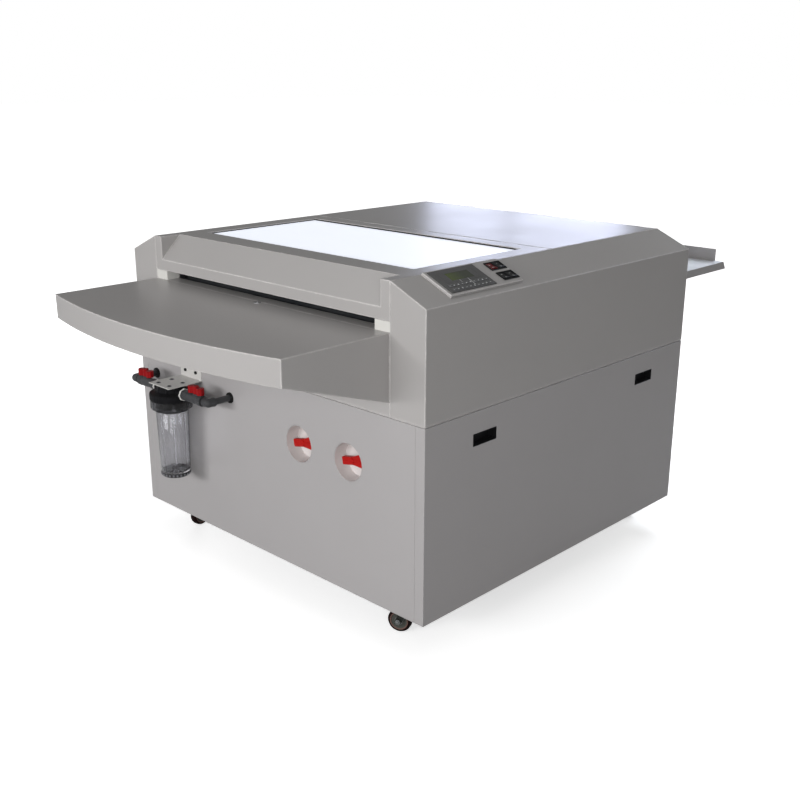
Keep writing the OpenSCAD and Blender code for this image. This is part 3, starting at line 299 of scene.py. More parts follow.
matt = maths(moulded, "MULTIPLY", maths(moulded, "SUBTRACT", handled, 0.5), 0.25)
moulded.links.new(maths(moulded, "ADD", mould_in["Gloss"], matt, True), mould_out["Roughness"])
moulded.links.new(spark, mould_out["Height"])


def plastic(name, color, gloss, grain=900.0, bloom=0.5, dusty=0.08, edge=0.35, shine=0.5):
    finish, tree, shader = new_finish(name)
    coat = use_effect(tree, moulded, Color=color, Grain=grain, Gloss=gloss, Bloom=bloom)
    edge_wear_glint = use_effect(tree, wear_and_glint, Radius=0.0009, Amount=edge)
    # Edges lighten: partly wear, partly a painted highlight.
    worn_glint_tone = [min(1.0, c * 1.6 + 0.004) for c in color[:3]] + [1]
    shade = mixed(tree, edge_wear_glint["Mask"], coat["Color"], worn_glint_tone)
    shade = mixed(tree, use_effect(tree, dust, Amount=dusty)["Mask"], shade, (0.45, 0.43, 0.40, 1))
    tree.links.new(shade, shader.inputs["Base Color"])
    tree.links.new(coat["Roughness"], shader.inputs["Roughness"])
    bumped = add_node(tree, "Bump", Strength=0.10, Distance=0.0002, Height=coat["Height"], Normal=edge_wear_glint["Normal"])
    tree.links.new(bumped.outputs["Normal"], shader.inputs["Normal"])
    shader.inputs["Specular IOR Level"].default_value = shine
    return finish


zinc = metal("zinc_plate", (0.62, 0.63, 0.65, 1), 140.0, 0.36)
bolt_steel = metal("bolt_steel", (0.70, 0.71, 0.73, 1), 400.0, 0.22)
axle_zinc = metal("axle_zinc", (0.30, 0.31, 0.31, 1), 300.0, 0.30)
olive_zinc = metal("olive_zinc", (0.075, 0.079, 0.072, 1), 160.0, 0.45)
tyre_rubber = plastic("castor_tyre", (0.009, 0.004, 0.004, 1), 0.6, 500.0, 0.9, shine=0.08)
tyre_ring = plastic("tyre_ring", (0.135, 0.082, 0.070, 1), 0.5, shine=0.15)
wheel_disc = plastic("wheel_disc", (0.055, 0.056, 0.050, 1), 0.42, shine=0.2)
dress("castor_plates", zinc, 0.0005)
dress("castor_fork_1 castor_fork_2 castor_fork_3 castor_fork_4", olive_zinc, 0.0005)

tread = [(0.00505, 0.0130), (0.0110, 0.0130), (0.0117, 0.0123), (0.0119, 0.0098), (0.0125, 0.0094), (0.0216, 0.0090),
         (0.0224, 0.0095), (0.0231, 0.0108), (0.0238, 0.0115), (0.0250, 0.0119), (0.0257, 0.0113), (0.0264, 0.0119),
         (0.0300, 0.0118), (0.0322, 0.0102), (0.0334, 0.0080), (0.0340, 0.0055), (0.0340, 0.0015), (0.0331, 0.0008)]
tread = tread + [(r, -z) for r, z in tread[::-1]] + [tread[0]]
bands = [3, 3, 3, 2, 2, 2, 2, 1, 1, 1, 1, 0, 0, 0, 0, 0, 0, 0]
bands = bands + bands[::-1][1:] + [3]
hexagon = ring_of(6, 0.0082)
nut = prism(hexagon, 0.0, 0.0052)
fork_side = 0.0171
cap = lathe([(0.0, 0.0088), (0.0022, 0.0085), (0.0040, 0.0074), (0.0052, 0.0052), (0.0052, 0.004)], 24)
wheel_headings = (203, 95, 80, 110)
for i, heading in enumerate(wheel_headings, 1):
    low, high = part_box(f"castor_wheel_{i}")
    hub = Matrix.Translation((low + high) / 2) @ Matrix.Rotation(math.radians(heading), 4, "Z")
    hub = hub @ Matrix.Rotation(math.pi / 2, 4, "X")
    make(f"castor_tyre_{i}", [(lathe(tread, 72), hub, bands)], [tyre_rubber, tyre_ring, wheel_disc, axle_zinc],
         f"castor_wheel_{i}", [f"castor_wheel_{i}"])
    ends = []
    for turn in (0, math.pi):
        out = hub @ Matrix.Rotation(turn, 4, "X") @ Matrix.Translation((0, 0, fork_side))
        ends += [(nut, out, 0), (cap, out, 0)]
    make(f"castor_nuts_{i}", ends, [axle_zinc], f"castor_fork_{i}", soft=0.0004)
plate_half, bolt_step, plate_under = 0.045, 0.034, 0.092
bolt_head, washer = prism(hexagon, -0.0048, 0.0), prism(ring_of(20, 0.0095), -0.0012, 0.0)
heads = []
plate_low, plate_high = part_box("castor_plates")
for x in (plate_low.x + plate_half, plate_high.x - plate_half):
    for y in (plate_low.y + plate_half, plate_high.y - plate_half):
        for dx in (-bolt_step, bolt_step):
            for dy in (-bolt_step, bolt_step):
                at = Matrix.Translation((x + dx, y + dy, plate_under))
                heads += [(bolt_head, at, 0), (washer, at, 0)]
make("castor_bolts", heads, [bolt_steel], "root", soft=0.0003)

# Cabinet skin: folded 2 mm sheet with a light warm-grey baked coat. The lower panels hang on
# the frame, the cheeks and aprons stand on it, and thin dark joints part them.
# Both coats lighten along edges, grey_paint strongly as a painted highlight on folds, panel_paint slightly.
grey_paint = paint("grey_paint", (0.405, 0.391, 0.384, 1), 0.31, 0.0048, 2.1)
panel_paint = paint("panel_paint", (0.404, 0.389, 0.391, 1), 0.31, 0.0030, 1.15)
dress("left_cheek right_cheek front_apron rear_apron", grey_paint)
dress("front_panel left_panel right_panel rear_panel", panel_paint)

# Joint strips: thin grey foam pressed into the joints beside the front panel, set back a little
# from the paint.
low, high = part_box("front_panel")
joint_fill = plastic("joint_fill", (0.36, 0.35, 0.34, 1), 0.6, 400.0, 0.2, shine=0.1)
strip_width, strip_front, strip_back = 0.0004, low.y + 0.0003, low.y + 0.0016
strips = []
for x in (low.x - 0.00045, high.x + 0.00005):
    upright = [(x, strip_front), (x + strip_width, strip_front), (x + strip_width, strip_back), (x, strip_back)]
    strips.append((prism(upright, low.z + 0.001, high.z - 0.001), Matrix.Identity(4), 0))
make("joint_strips", strips, [joint_fill], "root")

# Screws of the rear panel: bright steel button heads with a six-sided socket, turned into the
# frame round the panel's edge.
socket_head = lathe([(0.0, 0.0006), (0.0019, 0.0006), (0.0021, 0.0024), (0.0034, 0.0021), (0.0044, 0.0011),
                     (0.0047, 0.0)], 24)
back_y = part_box("rear_panel")[1].y
to_back = Matrix.Rotation(-math.pi / 2, 4, "X")
screw_at = [(x, z) for x in (-0.575, 0.575, 0.0) for z in (0.112, 0.622)]
screw_at += [(x, z) for x in (-0.575, 0.575) for z in (0.28, 0.45)]
screws = [(socket_head, Matrix.Translation((x, back_y, z)) @ to_back, 0) for x, z in screw_at]
make("rear_screws", screws, [bolt_steel], "root")

# Hand pulls and mains gland: black moulded plastic. The pulls are cups clipped into the side
# panels, and the gland is screwed through the rear one.
black_plastic = plastic("black_plastic", (0.009, 0.009, 0.010, 1), 0.45, shine=0.15)
dress("side_pulls mains_gland", black_plastic, 0.0005)

# Slot end blocks: pale plastic at both ends of the feed slot. The tanks and the bushes of the
# rollers are of the same family of plastics.
pale_plastic = plastic("pale_plastic", (0.66, 0.65, 0.62, 1), 0.42, 700.0, 0.12)
dress("slot_end_blocks", pale_plastic, 0.0008)

# Feed table, exit tray and stop: folded sheet in the same coat as the cabinet. The tray's top
# faces are pale blue-white, partly their own colour and partly window light painted into it.
dress("feed_table", grey_paint)
dress("exit_tray exit_stop", panel_paint)
# The top faces take a pale blue-white: partly their own colour, partly painted window light.
pale_lit_tray_top = plastic("pale_lit_tray_sheet", (0.84, 0.87, 0.93, 1), 0.36, 500.0, 0.06, edge=0.1)
cad["exit_tray"].data.materials.append(pale_lit_tray_top)
for face in cad["exit_tray"].data.polygons:
    if face.normal.z > 0.9 and face.center.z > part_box("exit_tray")[1].z - 0.004:
        face.material_index = 1

# Plate sensor: an optical eye that looks up from the table. A steel collar holds its dark lens
# and is pressed into a hole before the slot.
lens_black = plastic("sensor_lens", (0.02, 0.02, 0.025, 1), 0.12)
table_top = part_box("feed_table")[1].z
sensor_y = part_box("front_panel")[0].y - 0.012
collar = [(0.0, -0.0001), (0.0042, 0.0002), (0.0046, 0.0010), (0.0085, 0.0013), (0.0098, 0.0007), (0.0100, 0.0),
          (0.0068, 0.0), (0.0068, -0.012), (0.0, -0.012)]
make("plate_sensor", [(lathe(collar, 32), Matrix.Translation((0, sensor_y, table_top)), [1, 0, 0, 0, 0, 0, 0, 0])],
     [bolt_steel, lens_black], "root")

# Lids: folded sheet lids on pin hinges. The front one has a sloped hand recess and a sunk
# sheet of opal acrylic, edged at rear and left by a black rubber strip that is painted shade.
# The sheet's faint glow is painted light: it emits though it is no lamp.
dress("front_lid rear_lid", grey_paint, 0.0005)
dress("hinge_pins", bolt_steel, 0.0002)
opal, opal_tree, opal_shader = new_finish("opal_acrylic")
milk_and_glow = use_effect(opal_tree, moulded, Color=(0.80, 0.83, 0.90, 1), Grain=300.0, Gloss=0.4, Bloom=0.03)
opal_tree.links.new(milk_and_glow["Color"], opal_shader.inputs["Base Color"])
opal_tree.links.new(milk_and_glow["Roughness"], opal_shader.inputs["Roughness"])
# Painted light: the sheet emits a faint glow of its own colour, though it is no lamp.
opal_tree.links.new(milk_and_glow["Color"], opal_shader.inputs["Emission Color"])
opal_shader.inputs["Emission Strength"].default_value = 0.69
opal_shader.inputs["Specular IOR Level"].default_value = 0.12
dress("lid_window", opal, 0.0004)
low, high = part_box("lid_window")
black_rubber = plastic("black_rubber", (0.012, 0.012, 0.012, 1), 0.62, 400.0, 0.8, shine=0.15)
# Painted shade: a black strip along the window's rear and left edges, where the recess looks dark.
shade_strip_y, shade_strip_x = high.y - 0.0070, low.x + 0.0030
back_shade_strip = prism([(low.x, shade_strip_y), (high.x, shade_strip_y), (high.x, high.y), (low.x, high.y)], high.z, high.z + 0.0030)
left_shade_strip = prism([(low.x, low.y), (shade_strip_x, low.y), (shade_strip_x, shade_strip_y), (low.x, shade_strip_y)], high.z, high.z + 0.0024)
make("window_shade_strip", [(strip, Matrix.Identity(4), 0) for strip in (back_shade_strip, left_shade_strip)], [black_rubber],
     "front_lid", soft=0.0008)

# Control plate: painted plate screwed to the right slope. It carries a text display with soft
# keys under a film, and four rocker switches in black housings.
dress("control_plate", grey_paint, 0.0007)
front_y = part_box("front_panel")[0].y
slope_rise, slope_run, slope_x, slope_z = 0.053, 0.120, 0.624, 0.939
tilt = math.atan2(slope_rise, slope_run)
slope = Matrix.Translation((slope_x, front_y, slope_z)) @ Matrix.Rotation(tilt, 4, "Y")
film = plastic("display_film", (0.060, 0.060, 0.060, 1), 0.36, 1200.0, 0.3, shine=0.35)
dress("display_bezel", film, 0.0005)
glass, glass_tree, glass_shader = new_finish("display_glass")
glass_at = add_node(glass_tree, "TexCoord").outputs
cells = add_node(glass_tree, "TexBrick", {"offset": 0.0}, Vector=glass_at["Object"], Scale=420.0,
                 Color1=(0.080, 0.112, 0.022, 1), Color2=(0.094, 0.128, 0.028, 1),
                 Mortar=(0.056, 0.074, 0.016, 1), Mortar_Size=0.06, Brick_Width=0.5, Row_Height=0.5)
# Painted light: the screen is a brighter green at its near end and fades to dark at the far end.
along_glass = add_node(glass_tree, "SeparateXYZ", Vector=glass_at["Generated"]).outputs["Y"]
painted_dark_share = add_node(glass_tree, "MapRange", _0=along_glass, _1=0.25, _2=0.62, _3=0.1, _4=0.9).outputs["Result"]
painted_lit_cells = mixed(glass_tree, painted_dark_share, cells.outputs["Color"], (0.036, 0.042, 0.030, 1))
glass_tree.links.new(painted_lit_cells, glass_shader.inputs["Base Color"])
glass_shader.inputs["Roughness"].default_value = 0.2
glass_shader.inputs["Specular IOR Level"].default_value = 0.2
dress("display_screen", glass, 0.0001)
frame_edge = [(-0.1069, 0.1391), (-0.0651, 0.1391), (-0.0651, 0.2669), (-0.1069, 0.2669)]
frame_window = [(-0.1030, 0.1620), (-0.0710, 0.1620), (-0.0710, 0.2480), (-0.1030, 0.2480)]
frame_under, frame_top = 0.01025, 0.01045
frame_points = [(x, y, z) for z in (frame_under, frame_top) for x, y in frame_edge + frame_window]
frame_faces = []
for i, j in ((0, 1), (1, 2), (2, 3), (3, 0)):
    frame_faces += [([i, j, 4 + j, 4 + i], 0), ([8 + i, 8 + j, 12 + j, 12 + i], 0),
                    ([i, j, 8 + j, 8 + i], 0), ([4 + i, 4 + j, 12 + j, 12 + i], 0)]
make("display_frame", [((frame_points, frame_faces), slope, 0)], [film], "root")


def rounded_box(w, h, r, n=4):
    outline = []
    x, y = w / 2 - r, h / 2 - r
    for cx, cy, start in ((x, y, 0), (-x, y, 90), (-x, -y, 180), (x, -y, 270)):
        for k in range(n + 1):
            a = math.radians(start + 90 * k / n)
            outline.append((cx + r * math.cos(a), cy + r * math.sin(a)))
    return outline


key_grey = plastic("soft_keys", (0.075, 0.078, 0.08, 1), 0.22, 1200.0, 0.3)
print_and_glare = plastic("key_print_and_glare", (0.62, 0.63, 0.63, 1), 0.3, 1200.0, 0.1)
first_key, key_step, film_top, bar_under = 0.1335, 0.0155, 0.0105, 0.0104
key = prism(rounded_box(0.0105, 0.0118, 0.002), 0.0, 0.0007)
keys = []
for up in (0.0365, 0.0525):
    for k in range(10):
        at = slope @ Matrix.Translation((-up, first_key + key_step * k, film_top))
        mark = prism(rounded_box(0.0012 + 0.0012 * (k % 3), 0.0038, 0.0005, 2), 0.0006, 0.00085)
        keys += [(key, at, 0), (mark, at, 1)]
# Two pale bars across the film are painted glare: reflection strokes drawn in the key print's colour.
for along, low_end, high_end, width in ((0.18775, 0.0590, 0.0700, 0.0014), (0.21875, 0.0400, 0.0700, 0.0022)):
    bar = prism(rounded_box(high_end - low_end, width, width / 3, 2), 0.0, 0.0002)
    keys.append((bar, slope @ Matrix.Translation((-(low_end + high_end) / 2, along, bar_under)), 1))
make("display_keys", keys, [key_grey, print_and_glare], "root", soft=0.0002)

# Rockers: glossy moulded caps that tip on a pin in each housing. The first is red. A bar and
# a ring are printed at the two ends.
dress("switch_bezels", black_plastic, 0.0003)
red_plastic = plastic("red_plastic", (0.265, 0.008, 0.010, 1), 0.42, 800.0, 0.35, edge=0.15, shine=0.10)
rocker_red = plastic("rocker_red", (0.13, 0.008, 0.010, 1), 0.26, 800.0, 0.2, shine=0.2)
rocker_black = plastic("rocker_black", (0.008, 0.008, 0.009, 1), 0.34, 800.0, 0.3, shine=0.15)
mark_white = plastic("rocker_marks", (0.72, 0.72, 0.70, 1), 0.35)
half_length, half_width, dip_depth = 0.0137, 0.0122, 0.0017
dip = [(half_length * (k / 8 - 1), 0.0032 + dip_depth * (k / 8 - 1) ** 2) for k in range(17)]
side = dip + [(half_length, 0.001), (0.0, -0.0026), (-half_length, 0.001)]
stand = Matrix.Rotation(math.pi / 2, 4, "X")
bar = prism(rounded_box(0.0048, 0.0011, 0.0004, 2), -0.0002, 0.00012)
hoop = lathe([(0.0016, -0.0002), (0.0016, 0.00012), (0.0025, 0.00012), (0.0025, -0.0002)], 20)
sign_share, sign_up = 0.55, 0.00372
tip = math.atan(2 * dip_depth * sign_share / half_length)
at_bar = Matrix.Translation((-sign_share * half_length, 0, sign_up)) @ Matrix.Rotation(tip, 4, "Y")
at_hoop = Matrix.Translation((sign_share * half_length, 0, sign_up)) @ Matrix.Rotation(-tip, 4, "Y")
pin_up, pressed = 0.0055, Matrix.Rotation(math.radians(-8), 4, "Y")
rocker_places = ((0.0975, 0.344), (0.0975, 0.376), (0.0505, 0.344), (0.0505, 0.376))
for i, (up, along) in enumerate(rocker_places, 1):
    seat = slope @ Matrix.Translation((-up, along, pin_up)) @ pressed
    signs = [(bar, seat @ at_bar, 1), (hoop, seat @ at_hoop, 1)]
    make(f"rocker_cap_{i}", [(prism(side, -half_width, half_width), seat @ stand, 0)] + signs,
         [rocker_red if i == 1 else rocker_black, mark_white], f"rocker_{i}",
         [f"rocker_{i}"], soft=0.00025)

# Water filter: a pale bracket screwed to the panel carries a black ribbed head. A clear bowl
# with a ribbed collar screws up onto it.
bracket_paint = paint("bracket_paint", (0.60, 0.59, 0.57, 1), 0.36, 0.0012, 1.25)
dress("filter_bracket", bracket_paint, 0.0004)
bracket_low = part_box("filter_bracket")[0]
cad["filter_bracket"].data.materials.append(black_plastic)
for face in cad["filter_bracket"].data.polygons:
    if face.center.z > bracket_low.z + 0.004 and face.center.y < front_y - 0.00305:
        face.material_index = 1
low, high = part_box("filter_bowl")
centre = (low + high) / 2
screw_cap = lathe([(0.0, 0.0004), (0.0022, 0.0004), (0.0026, 0.0022), (0.0042, 0.0020), (0.0058, 0.0009),
                   (0.0062, 0.0)], 24)
screw_washer = lathe([(0.0061, 0.0), (0.0061, 0.0007), (0.0084, 0.0006), (0.0086, 0.0)], 24)
bracket_sheet = 0.0025
plugs = []
for dx, dy in ((-0.028, -0.024), (0.028, -0.024), (-0.028, 0.024), (0.028, 0.024)):
    at = Matrix.Translation((centre.x + dx, centre.y + dy, bracket_low.z + bracket_sheet))
    plugs += [(screw_cap, at, 0), (screw_washer, at, 1)]
make("bracket_screws", plugs, [black_plastic, bolt_steel], "root")
axis = Matrix.Translation((centre.x, centre.y, 0))
head_black = plastic("filter_black", (0.007, 0.007, 0.008, 1), 0.46, 600.0, 0.6, dusty=0.02, edge=0.2, shine=0.10)
head_steps = 160


def head_ribs(a, k):
    if 4 <= k <= 6:
        return -0.0007 if (a * head_steps / (2 * math.pi)) % 4 < 2 else 0.0
    if 9 <= k <= 11:
        return -0.0022 if (a * head_steps / (2 * math.pi)) % 20 < 16 else 0.0
    return 0.0


head = [(0.0, 0.502), (0.043, 0.502), (0.043, 0.522), (0.0642, 0.522), (0.0655, 0.5234), (0.0655, 0.5418),
        (0.0645, 0.5436), (0.0600, 0.5441), (0.0478, 0.5475), (0.0460, 0.5490), (0.0440, 0.5565), (0.0424, 0.5655),
        (0.0402, 0.5679), (0.0, 0.5679)]
port = lathe([(0.0, -0.0665), (0.0118, -0.0665), (0.013, -0.0655), (0.013, -0.050), (0.0142, -0.0495),
              (0.0142, 0.0495), (0.013, 0.050), (0.013, 0.0655), (0.0118, 0.0665), (0.0, 0.0665)], 32)
pipe_z = 0.548
lie = Matrix.Rotation(math.pi / 2, 4, "Y")
port_at = axis @ Matrix.Translation((0, 0, pipe_z))
make("filter_cap", [(lathe(head, head_steps, head_ribs), axis, 0), (port, port_at @ lie, 0)],
     [head_black], "root", ["filter_head"])


def clear_moulding(name, color, rim):
    finish, tree, shader = new_finish(name)
    hazed = use_effect(tree, moulded, Color=color, Grain=140.0, Gloss=0.06, Bloom=0.05)
    facing = add_node(tree, "LayerWeight", Blend=0.5).outputs["Facing"]
    wall = add_node(tree, "MapRange", _0=facing, _1=0.55, _2=0.80).outputs["Result"]
    tree.links.new(mixed(tree, wall, hazed["Color"], rim), shader.inputs["Base Color"])
    tree.links.new(hazed["Roughness"], shader.inputs["Roughness"])
    shader.inputs["Transmission Weight"].default_value = 1.0
    shader.inputs["IOR"].default_value = 1.48
    return finish


clear = clear_moulding("clear_plastic", (0.77, 0.775, 0.80, 1), (0.10, 0.10, 0.11, 1))
clear_collar = clear_moulding("clear_collar", (0.10, 0.10, 0.11, 1), (0.03, 0.03, 0.033, 1))


def bowl_ribs(a, k):
    step = round(a * head_steps / (2 * math.pi))
    if 6 <= k <= 8:
        return -0.0014 if step % 10 < 5 else 0.0
    if 12 <= k <= 13:
        return -0.0016 if step % 20 == 6 else 0.0
    return 0.0


bowl = [(0.0, 0.2899), (0.0400, 0.2899), (0.0446, 0.2905), (0.0456, 0.300), (0.0500, 0.4890), (0.0560, 0.4918),
        (0.0632, 0.4955), (0.0640, 0.4980), (0.0640, 0.5195), (0.0632, 0.5214), (0.0432, 0.5216), (0.0432, 0.5160),
        (0.0484, 0.5080), (0.0439, 0.300), (0.0430, 0.2935), (0.0, 0.2918)]
bowl_bands = [0] * 5 + [1] * 6 + [0] * 4
base_ring = plastic("bowl_foot", (0.026, 0.026, 0.028, 1), 0.40, 330.0, 3.0, shine=0.2)
bowl_floor = plastic("bowl_floor", (0.17, 0.17, 0.18, 1), 0.45, 260.0, 0.6, shine=0.2)
foot = [(0.0, 0.2640), (0.0024, 0.2643), (0.0034, 0.2660), (0.0036, 0.2696), (0.0180, 0.2703), (0.0320, 0.2724),
        (0.0415, 0.2762), (0.0446, 0.2800), (0.0452, 0.2885), (0.0446, 0.2897), (0.0, 0.2896)]
lug = prism([(0.0440, -0.0026), (0.0462, -0.0024), (0.0462, 0.0024), (0.0440, 0.0026)], 0.2800, 0.2868)
lugs = [(lug, axis @ Matrix.Rotation(2 * math.pi * k / 24, 4, "Z"), 1) for k in range(24)]
fin = prism([(0.0150, -0.0011), (0.0395, -0.0014), (0.0395, 0.0014), (0.0150, 0.0011)], 0.2930, 0.2975)
lugs += [(fin, axis @ Matrix.Rotation(2 * math.pi * k / 16, 4, "Z"), 1) for k in range(16)]
bowl_seal = [(0.0505, 0.4880), (0.0530, 0.4878), (0.0548, 0.4896), (0.0546, 0.4912), (0.0505, 0.4896),
             (0.0505, 0.4880)]
make("filter_glass", [(lathe(bowl, head_steps, bowl_ribs), axis, bowl_bands)], [clear, clear_collar],
     "filter_bowl", ["filter_bowl"])
make("filter_foot", [(lathe(foot, 64), axis, 0), (lathe(bowl_seal, 64), axis, 0)] + lugs, [base_ring, bowl_floor],
     "filter_bowl")

# Filter valves: grey PVC bodies with ribbed union nuts, glued to the head's ports, and elbows
# and pipes that turn into the panel through rubber grommets.
pvc = plastic("grey_pvc", (0.046, 0.047, 0.050, 1), 0.32, 700.0, 0.5, shine=0.2)
valve_steps = 96


def union_ribs(a, k):
    return -0.0013 if k in (3, 4, 5, 11, 12, 13) and (a * valve_steps / (2 * math.pi)) % 6 < 3 else 0.0


valve = [(0.0, 0.0665), (0.0150, 0.0665), (0.0150, 0.0765), (0.0163, 0.0768), (0.0165, 0.0780), (0.0163, 0.0955),
         (0.0150, 0.0970), (0.0149, 0.1120), (0.0158, 0.1200), (0.0158, 0.1380), (0.0149, 0.1435), (0.0163, 0.1452),
         (0.0165, 0.1470), (0.0163, 0.1640), (0.0155, 0.1650), (0.0, 0.1650)]
neck = lathe([(0.0, 0.0), (0.0100, 0.0), (0.0100, 0.0150), (0.0094, 0.0166), (0.0040, 0.0167), (0.0040, 0.0390),
              (0.0030, 0.0400), (0.0, 0.0400)], 32)
stem_x = 0.132
bodies = []
for turn in (0, math.pi):
    side_way = port_at @ Matrix.Rotation(turn, 4, "Z")
    bodies.append((lathe(valve, valve_steps, union_ribs), side_way @ lie, 0))
    bodies.append((neck, side_way @ Matrix.Translation((stem_x, 0, 0)), 0))
make("filter_valve_bodies", bodies, [pvc], "root", ["filter_valves"])


def eight_flats(a, k):
    flat = math.cos(math.pi / 8) / math.cos(a % (math.pi / 4) - math.pi / 8)
    return 0.0200 * (flat - 0.97) if 1 <= k <= 4 else 0.0


nut_ring = [(0.01505, 0.0665), (0.0182, 0.0665), (0.0190, 0.0673), (0.0190, 0.0702), (0.0182, 0.0710),
            (0.0166, 0.0712), (0.0164, 0.0764), (0.01505, 0.0764), (0.01505, 0.0665)]
nut_bands = [0] * 5 + [1] * 3
nuts = [(lathe(nut_ring, 64, eight_flats), port_at @ Matrix.Rotation(turn, 4, "Z") @ lie, nut_bands)
        for turn in (0, math.pi)]
make("union_nuts", nuts, [pale_plastic, pvc], "root", ["port_nuts"])


def sweep(path, radius, sides=28):
    points, faces = [], []
    up = Vector((0, 0, 1))
    for k, p in enumerate(path):
        ahead = (Vector(path[min(k + 1, len(path) - 1)]) - Vector(path[max(k - 1, 0)])).normalized()
        across = ahead.cross(up).normalized()
        for i in range(sides):
            a = 2 * math.pi * i / sides
            points.append(Vector(p) + radius * (math.cos(a) * across + math.sin(a) * up))
    for k in range(len(path) - 1):
        for i in range(sides):
            j = (i + 1) % sides
            faces.append(([k * sides + i, k * sides + j, (k + 1) * sides + j, (k + 1) * sides + i], 0))
    faces.append((list(range(sides))[::-1], 0))
    faces.append((list(range((len(path) - 1) * sides, len(path) * sides)), 0))
    return points, faces


pipe_radius, elbow_radius, rim_radius = 0.010, 0.013, 0.0138
elbow_x, panel_gap = 0.191, 0.078
across_runs = ((0.165, 0.172, pipe_radius), (0.171, elbow_x, elbow_radius), (0.1712, 0.1762, rim_radius))
inward_runs = ((0.0, 0.020, elbow_radius), (0.0148, 0.0198, rim_radius), (0.0195, 0.117, pipe_radius))
arc = [math.radians(a) for a in range(-90, 91, 15)]
ball = lathe([(elbow_radius * math.cos(a), elbow_radius * math.sin(a)) for a in arc], 32)
grommet = lathe([(0.0101, -0.005), (0.0150, -0.005), (0.0163, -0.0036), (0.0165, -0.0002), (0.0124, -0.0002),
                 (0.0124, 0.0022), (0.0165, 0.0022), (0.0163, 0.0048), (0.0101, 0.005), (0.0101, -0.005)], 36)
runs = []
for way in (1, -1):
    corner = Vector((way * elbow_x, 0, pipe_z))
    runs.append((ball, axis @ Matrix.Translation(corner), 0))
    for start, end, radius in across_runs:
        runs.append((sweep([(way * start, 0, pipe_z), (way * end, 0, pipe_z)], radius), axis, 0))
    for start, end, radius in inward_runs:
        runs.append((sweep([corner + Vector((0, start, 0)), corner + Vector((0, end, 0))], radius), axis, 0))
    runs.append((grommet, axis @ Matrix.Translation((way * elbow_x, panel_gap, pipe_z)) @ to_back, 1))
make("filter_pipework", runs, [pvc, black_rubber], "root", ["filter_pipes"], soft=0.0004)

# Valve handles: red moulded butterfly grips with scalloped ends. A hub between the two wings is
# pushed onto the valve's stem.
lobe = []
for k in range(48):
    a = 2 * math.pi * k / 48
    flute = 0.0118 - 0.0011 * (0.5 + 0.5 * math.cos(8 * a)) ** 2
    lobe.append((0.0210 + flute * math.cos(a), flute * math.sin(a)))
grip_up = 0.017
web = [(-0.021, -0.0052), (0.021, -0.0052), (0.021, 0.0052), (-0.021, 0.0052)]
hub = lathe([(0.0041, 0.0), (0.0090, 0.0), (0.0090, 0.0222), (0.0078, 0.0240), (0.0041, 0.0240), (0.0041, 0.0)], 32)
for name, way in (("left", -1), ("right", 1)):
    stem = axis @ Matrix.Translation((way * stem_x, 0, pipe_z + grip_up))
    wings = [(prism(lobe, 0.0002, 0.0208), stem @ Matrix.Rotation(turn, 4, "Z"), 0) for turn in (0, math.pi)]
    make(f"valve_grip_{name}", wings + [(prism(web, 0.0004, 0.0190), stem, 0), (hub, stem, 0)], [red_plastic],
         f"filter_handle_{name}", [f"filter_handle_{name}"], soft=0.0009)

# Drains: pale cups set into the front panel, each with a red lever on the stem of a PVC valve
# behind it. The lever flares at its right end, where a dark patch is painted shade in place of a hollow.
cup_plastic = plastic("cup_plastic", (0.66, 0.625, 0.615, 1), 0.40, 700.0, 0.1, 0.02, edge=0.1, shine=0.3)
dress("drain_cups", cup_plastic, 0.0004)
cad["drain_cups"].data.materials.append(panel_paint)
for face in cad["drain_cups"].data.polygons:
    if face.center.y < front_y + 0.0005:
        face.material_index = 1
dress("drain_valves", pvc, 0.0006)
lever_shade = plastic("lever_shade", (0.035, 0.004, 0.004, 1), 0.5)
lever_red = plastic("lever_red", (0.40, 0.011, 0.009, 1), 0.44, 800.0, 0.3, edge=0.15, shine=0.10)
blade = [(-0.0352, -0.0110), (0.004, -0.0110), (0.016, -0.0135), (0.030, -0.0172), (0.0382, -0.0193),
         (0.0416, -0.0172), (0.0420, -0.0120), (0.0420, 0.0120), (0.0416, 0.0172), (0.0382, 0.0193),
         (0.030, 0.0172), (0.016, 0.0135), (0.004, 0.0110), (-0.0352, 0.0110), (-0.0360, 0.0095), (-0.0360, -0.0095)]
# Painted shade: a dark patch on the lever's right end stands in for a hollow's shade.
painted_shade_patch = [(0.0405, -0.0150), (0.0424, -0.0150), (0.0424, 0.0150), (0.0405, 0.0150)]
boss = lathe([(0.0061, 0.0002), (0.0105, 0.0002), (0.0105, 0.0158), (0.0092, 0.0170), (0.0, 0.0170), (0.0, 0.0146),
              (0.0061, 0.0146), (0.0061, 0.0002)], 36)
rib = prism([(-0.031, -0.0020), (0.036, -0.0034), (0.036, 0.0034), (-0.031, 0.0020)], 0.0138, 0.0152)
lever_in, drain_z, lever_turn = 0.026, 0.480, math.radians(12)
for i, x in ((1, 0.147), (2, 0.347)):
    spindle = Matrix.Translation((x, front_y + lever_in, drain_z)) @ stand @ Matrix.Rotation(lever_turn, 4, "Z")
    lever = [(prism(blade, 0.0002, 0.0140), spindle, 0), (boss, spindle, 0), (rib, spindle, 0),
             (prism(painted_shade_patch, 0.0030, 0.0115), spindle, 1)]
    make(f"drain_lever_{i}", lever, [lever_red, lever_shade], f"drain_handle_{i}",
         [f"drain_handle_{i}"], soft=0.0012)

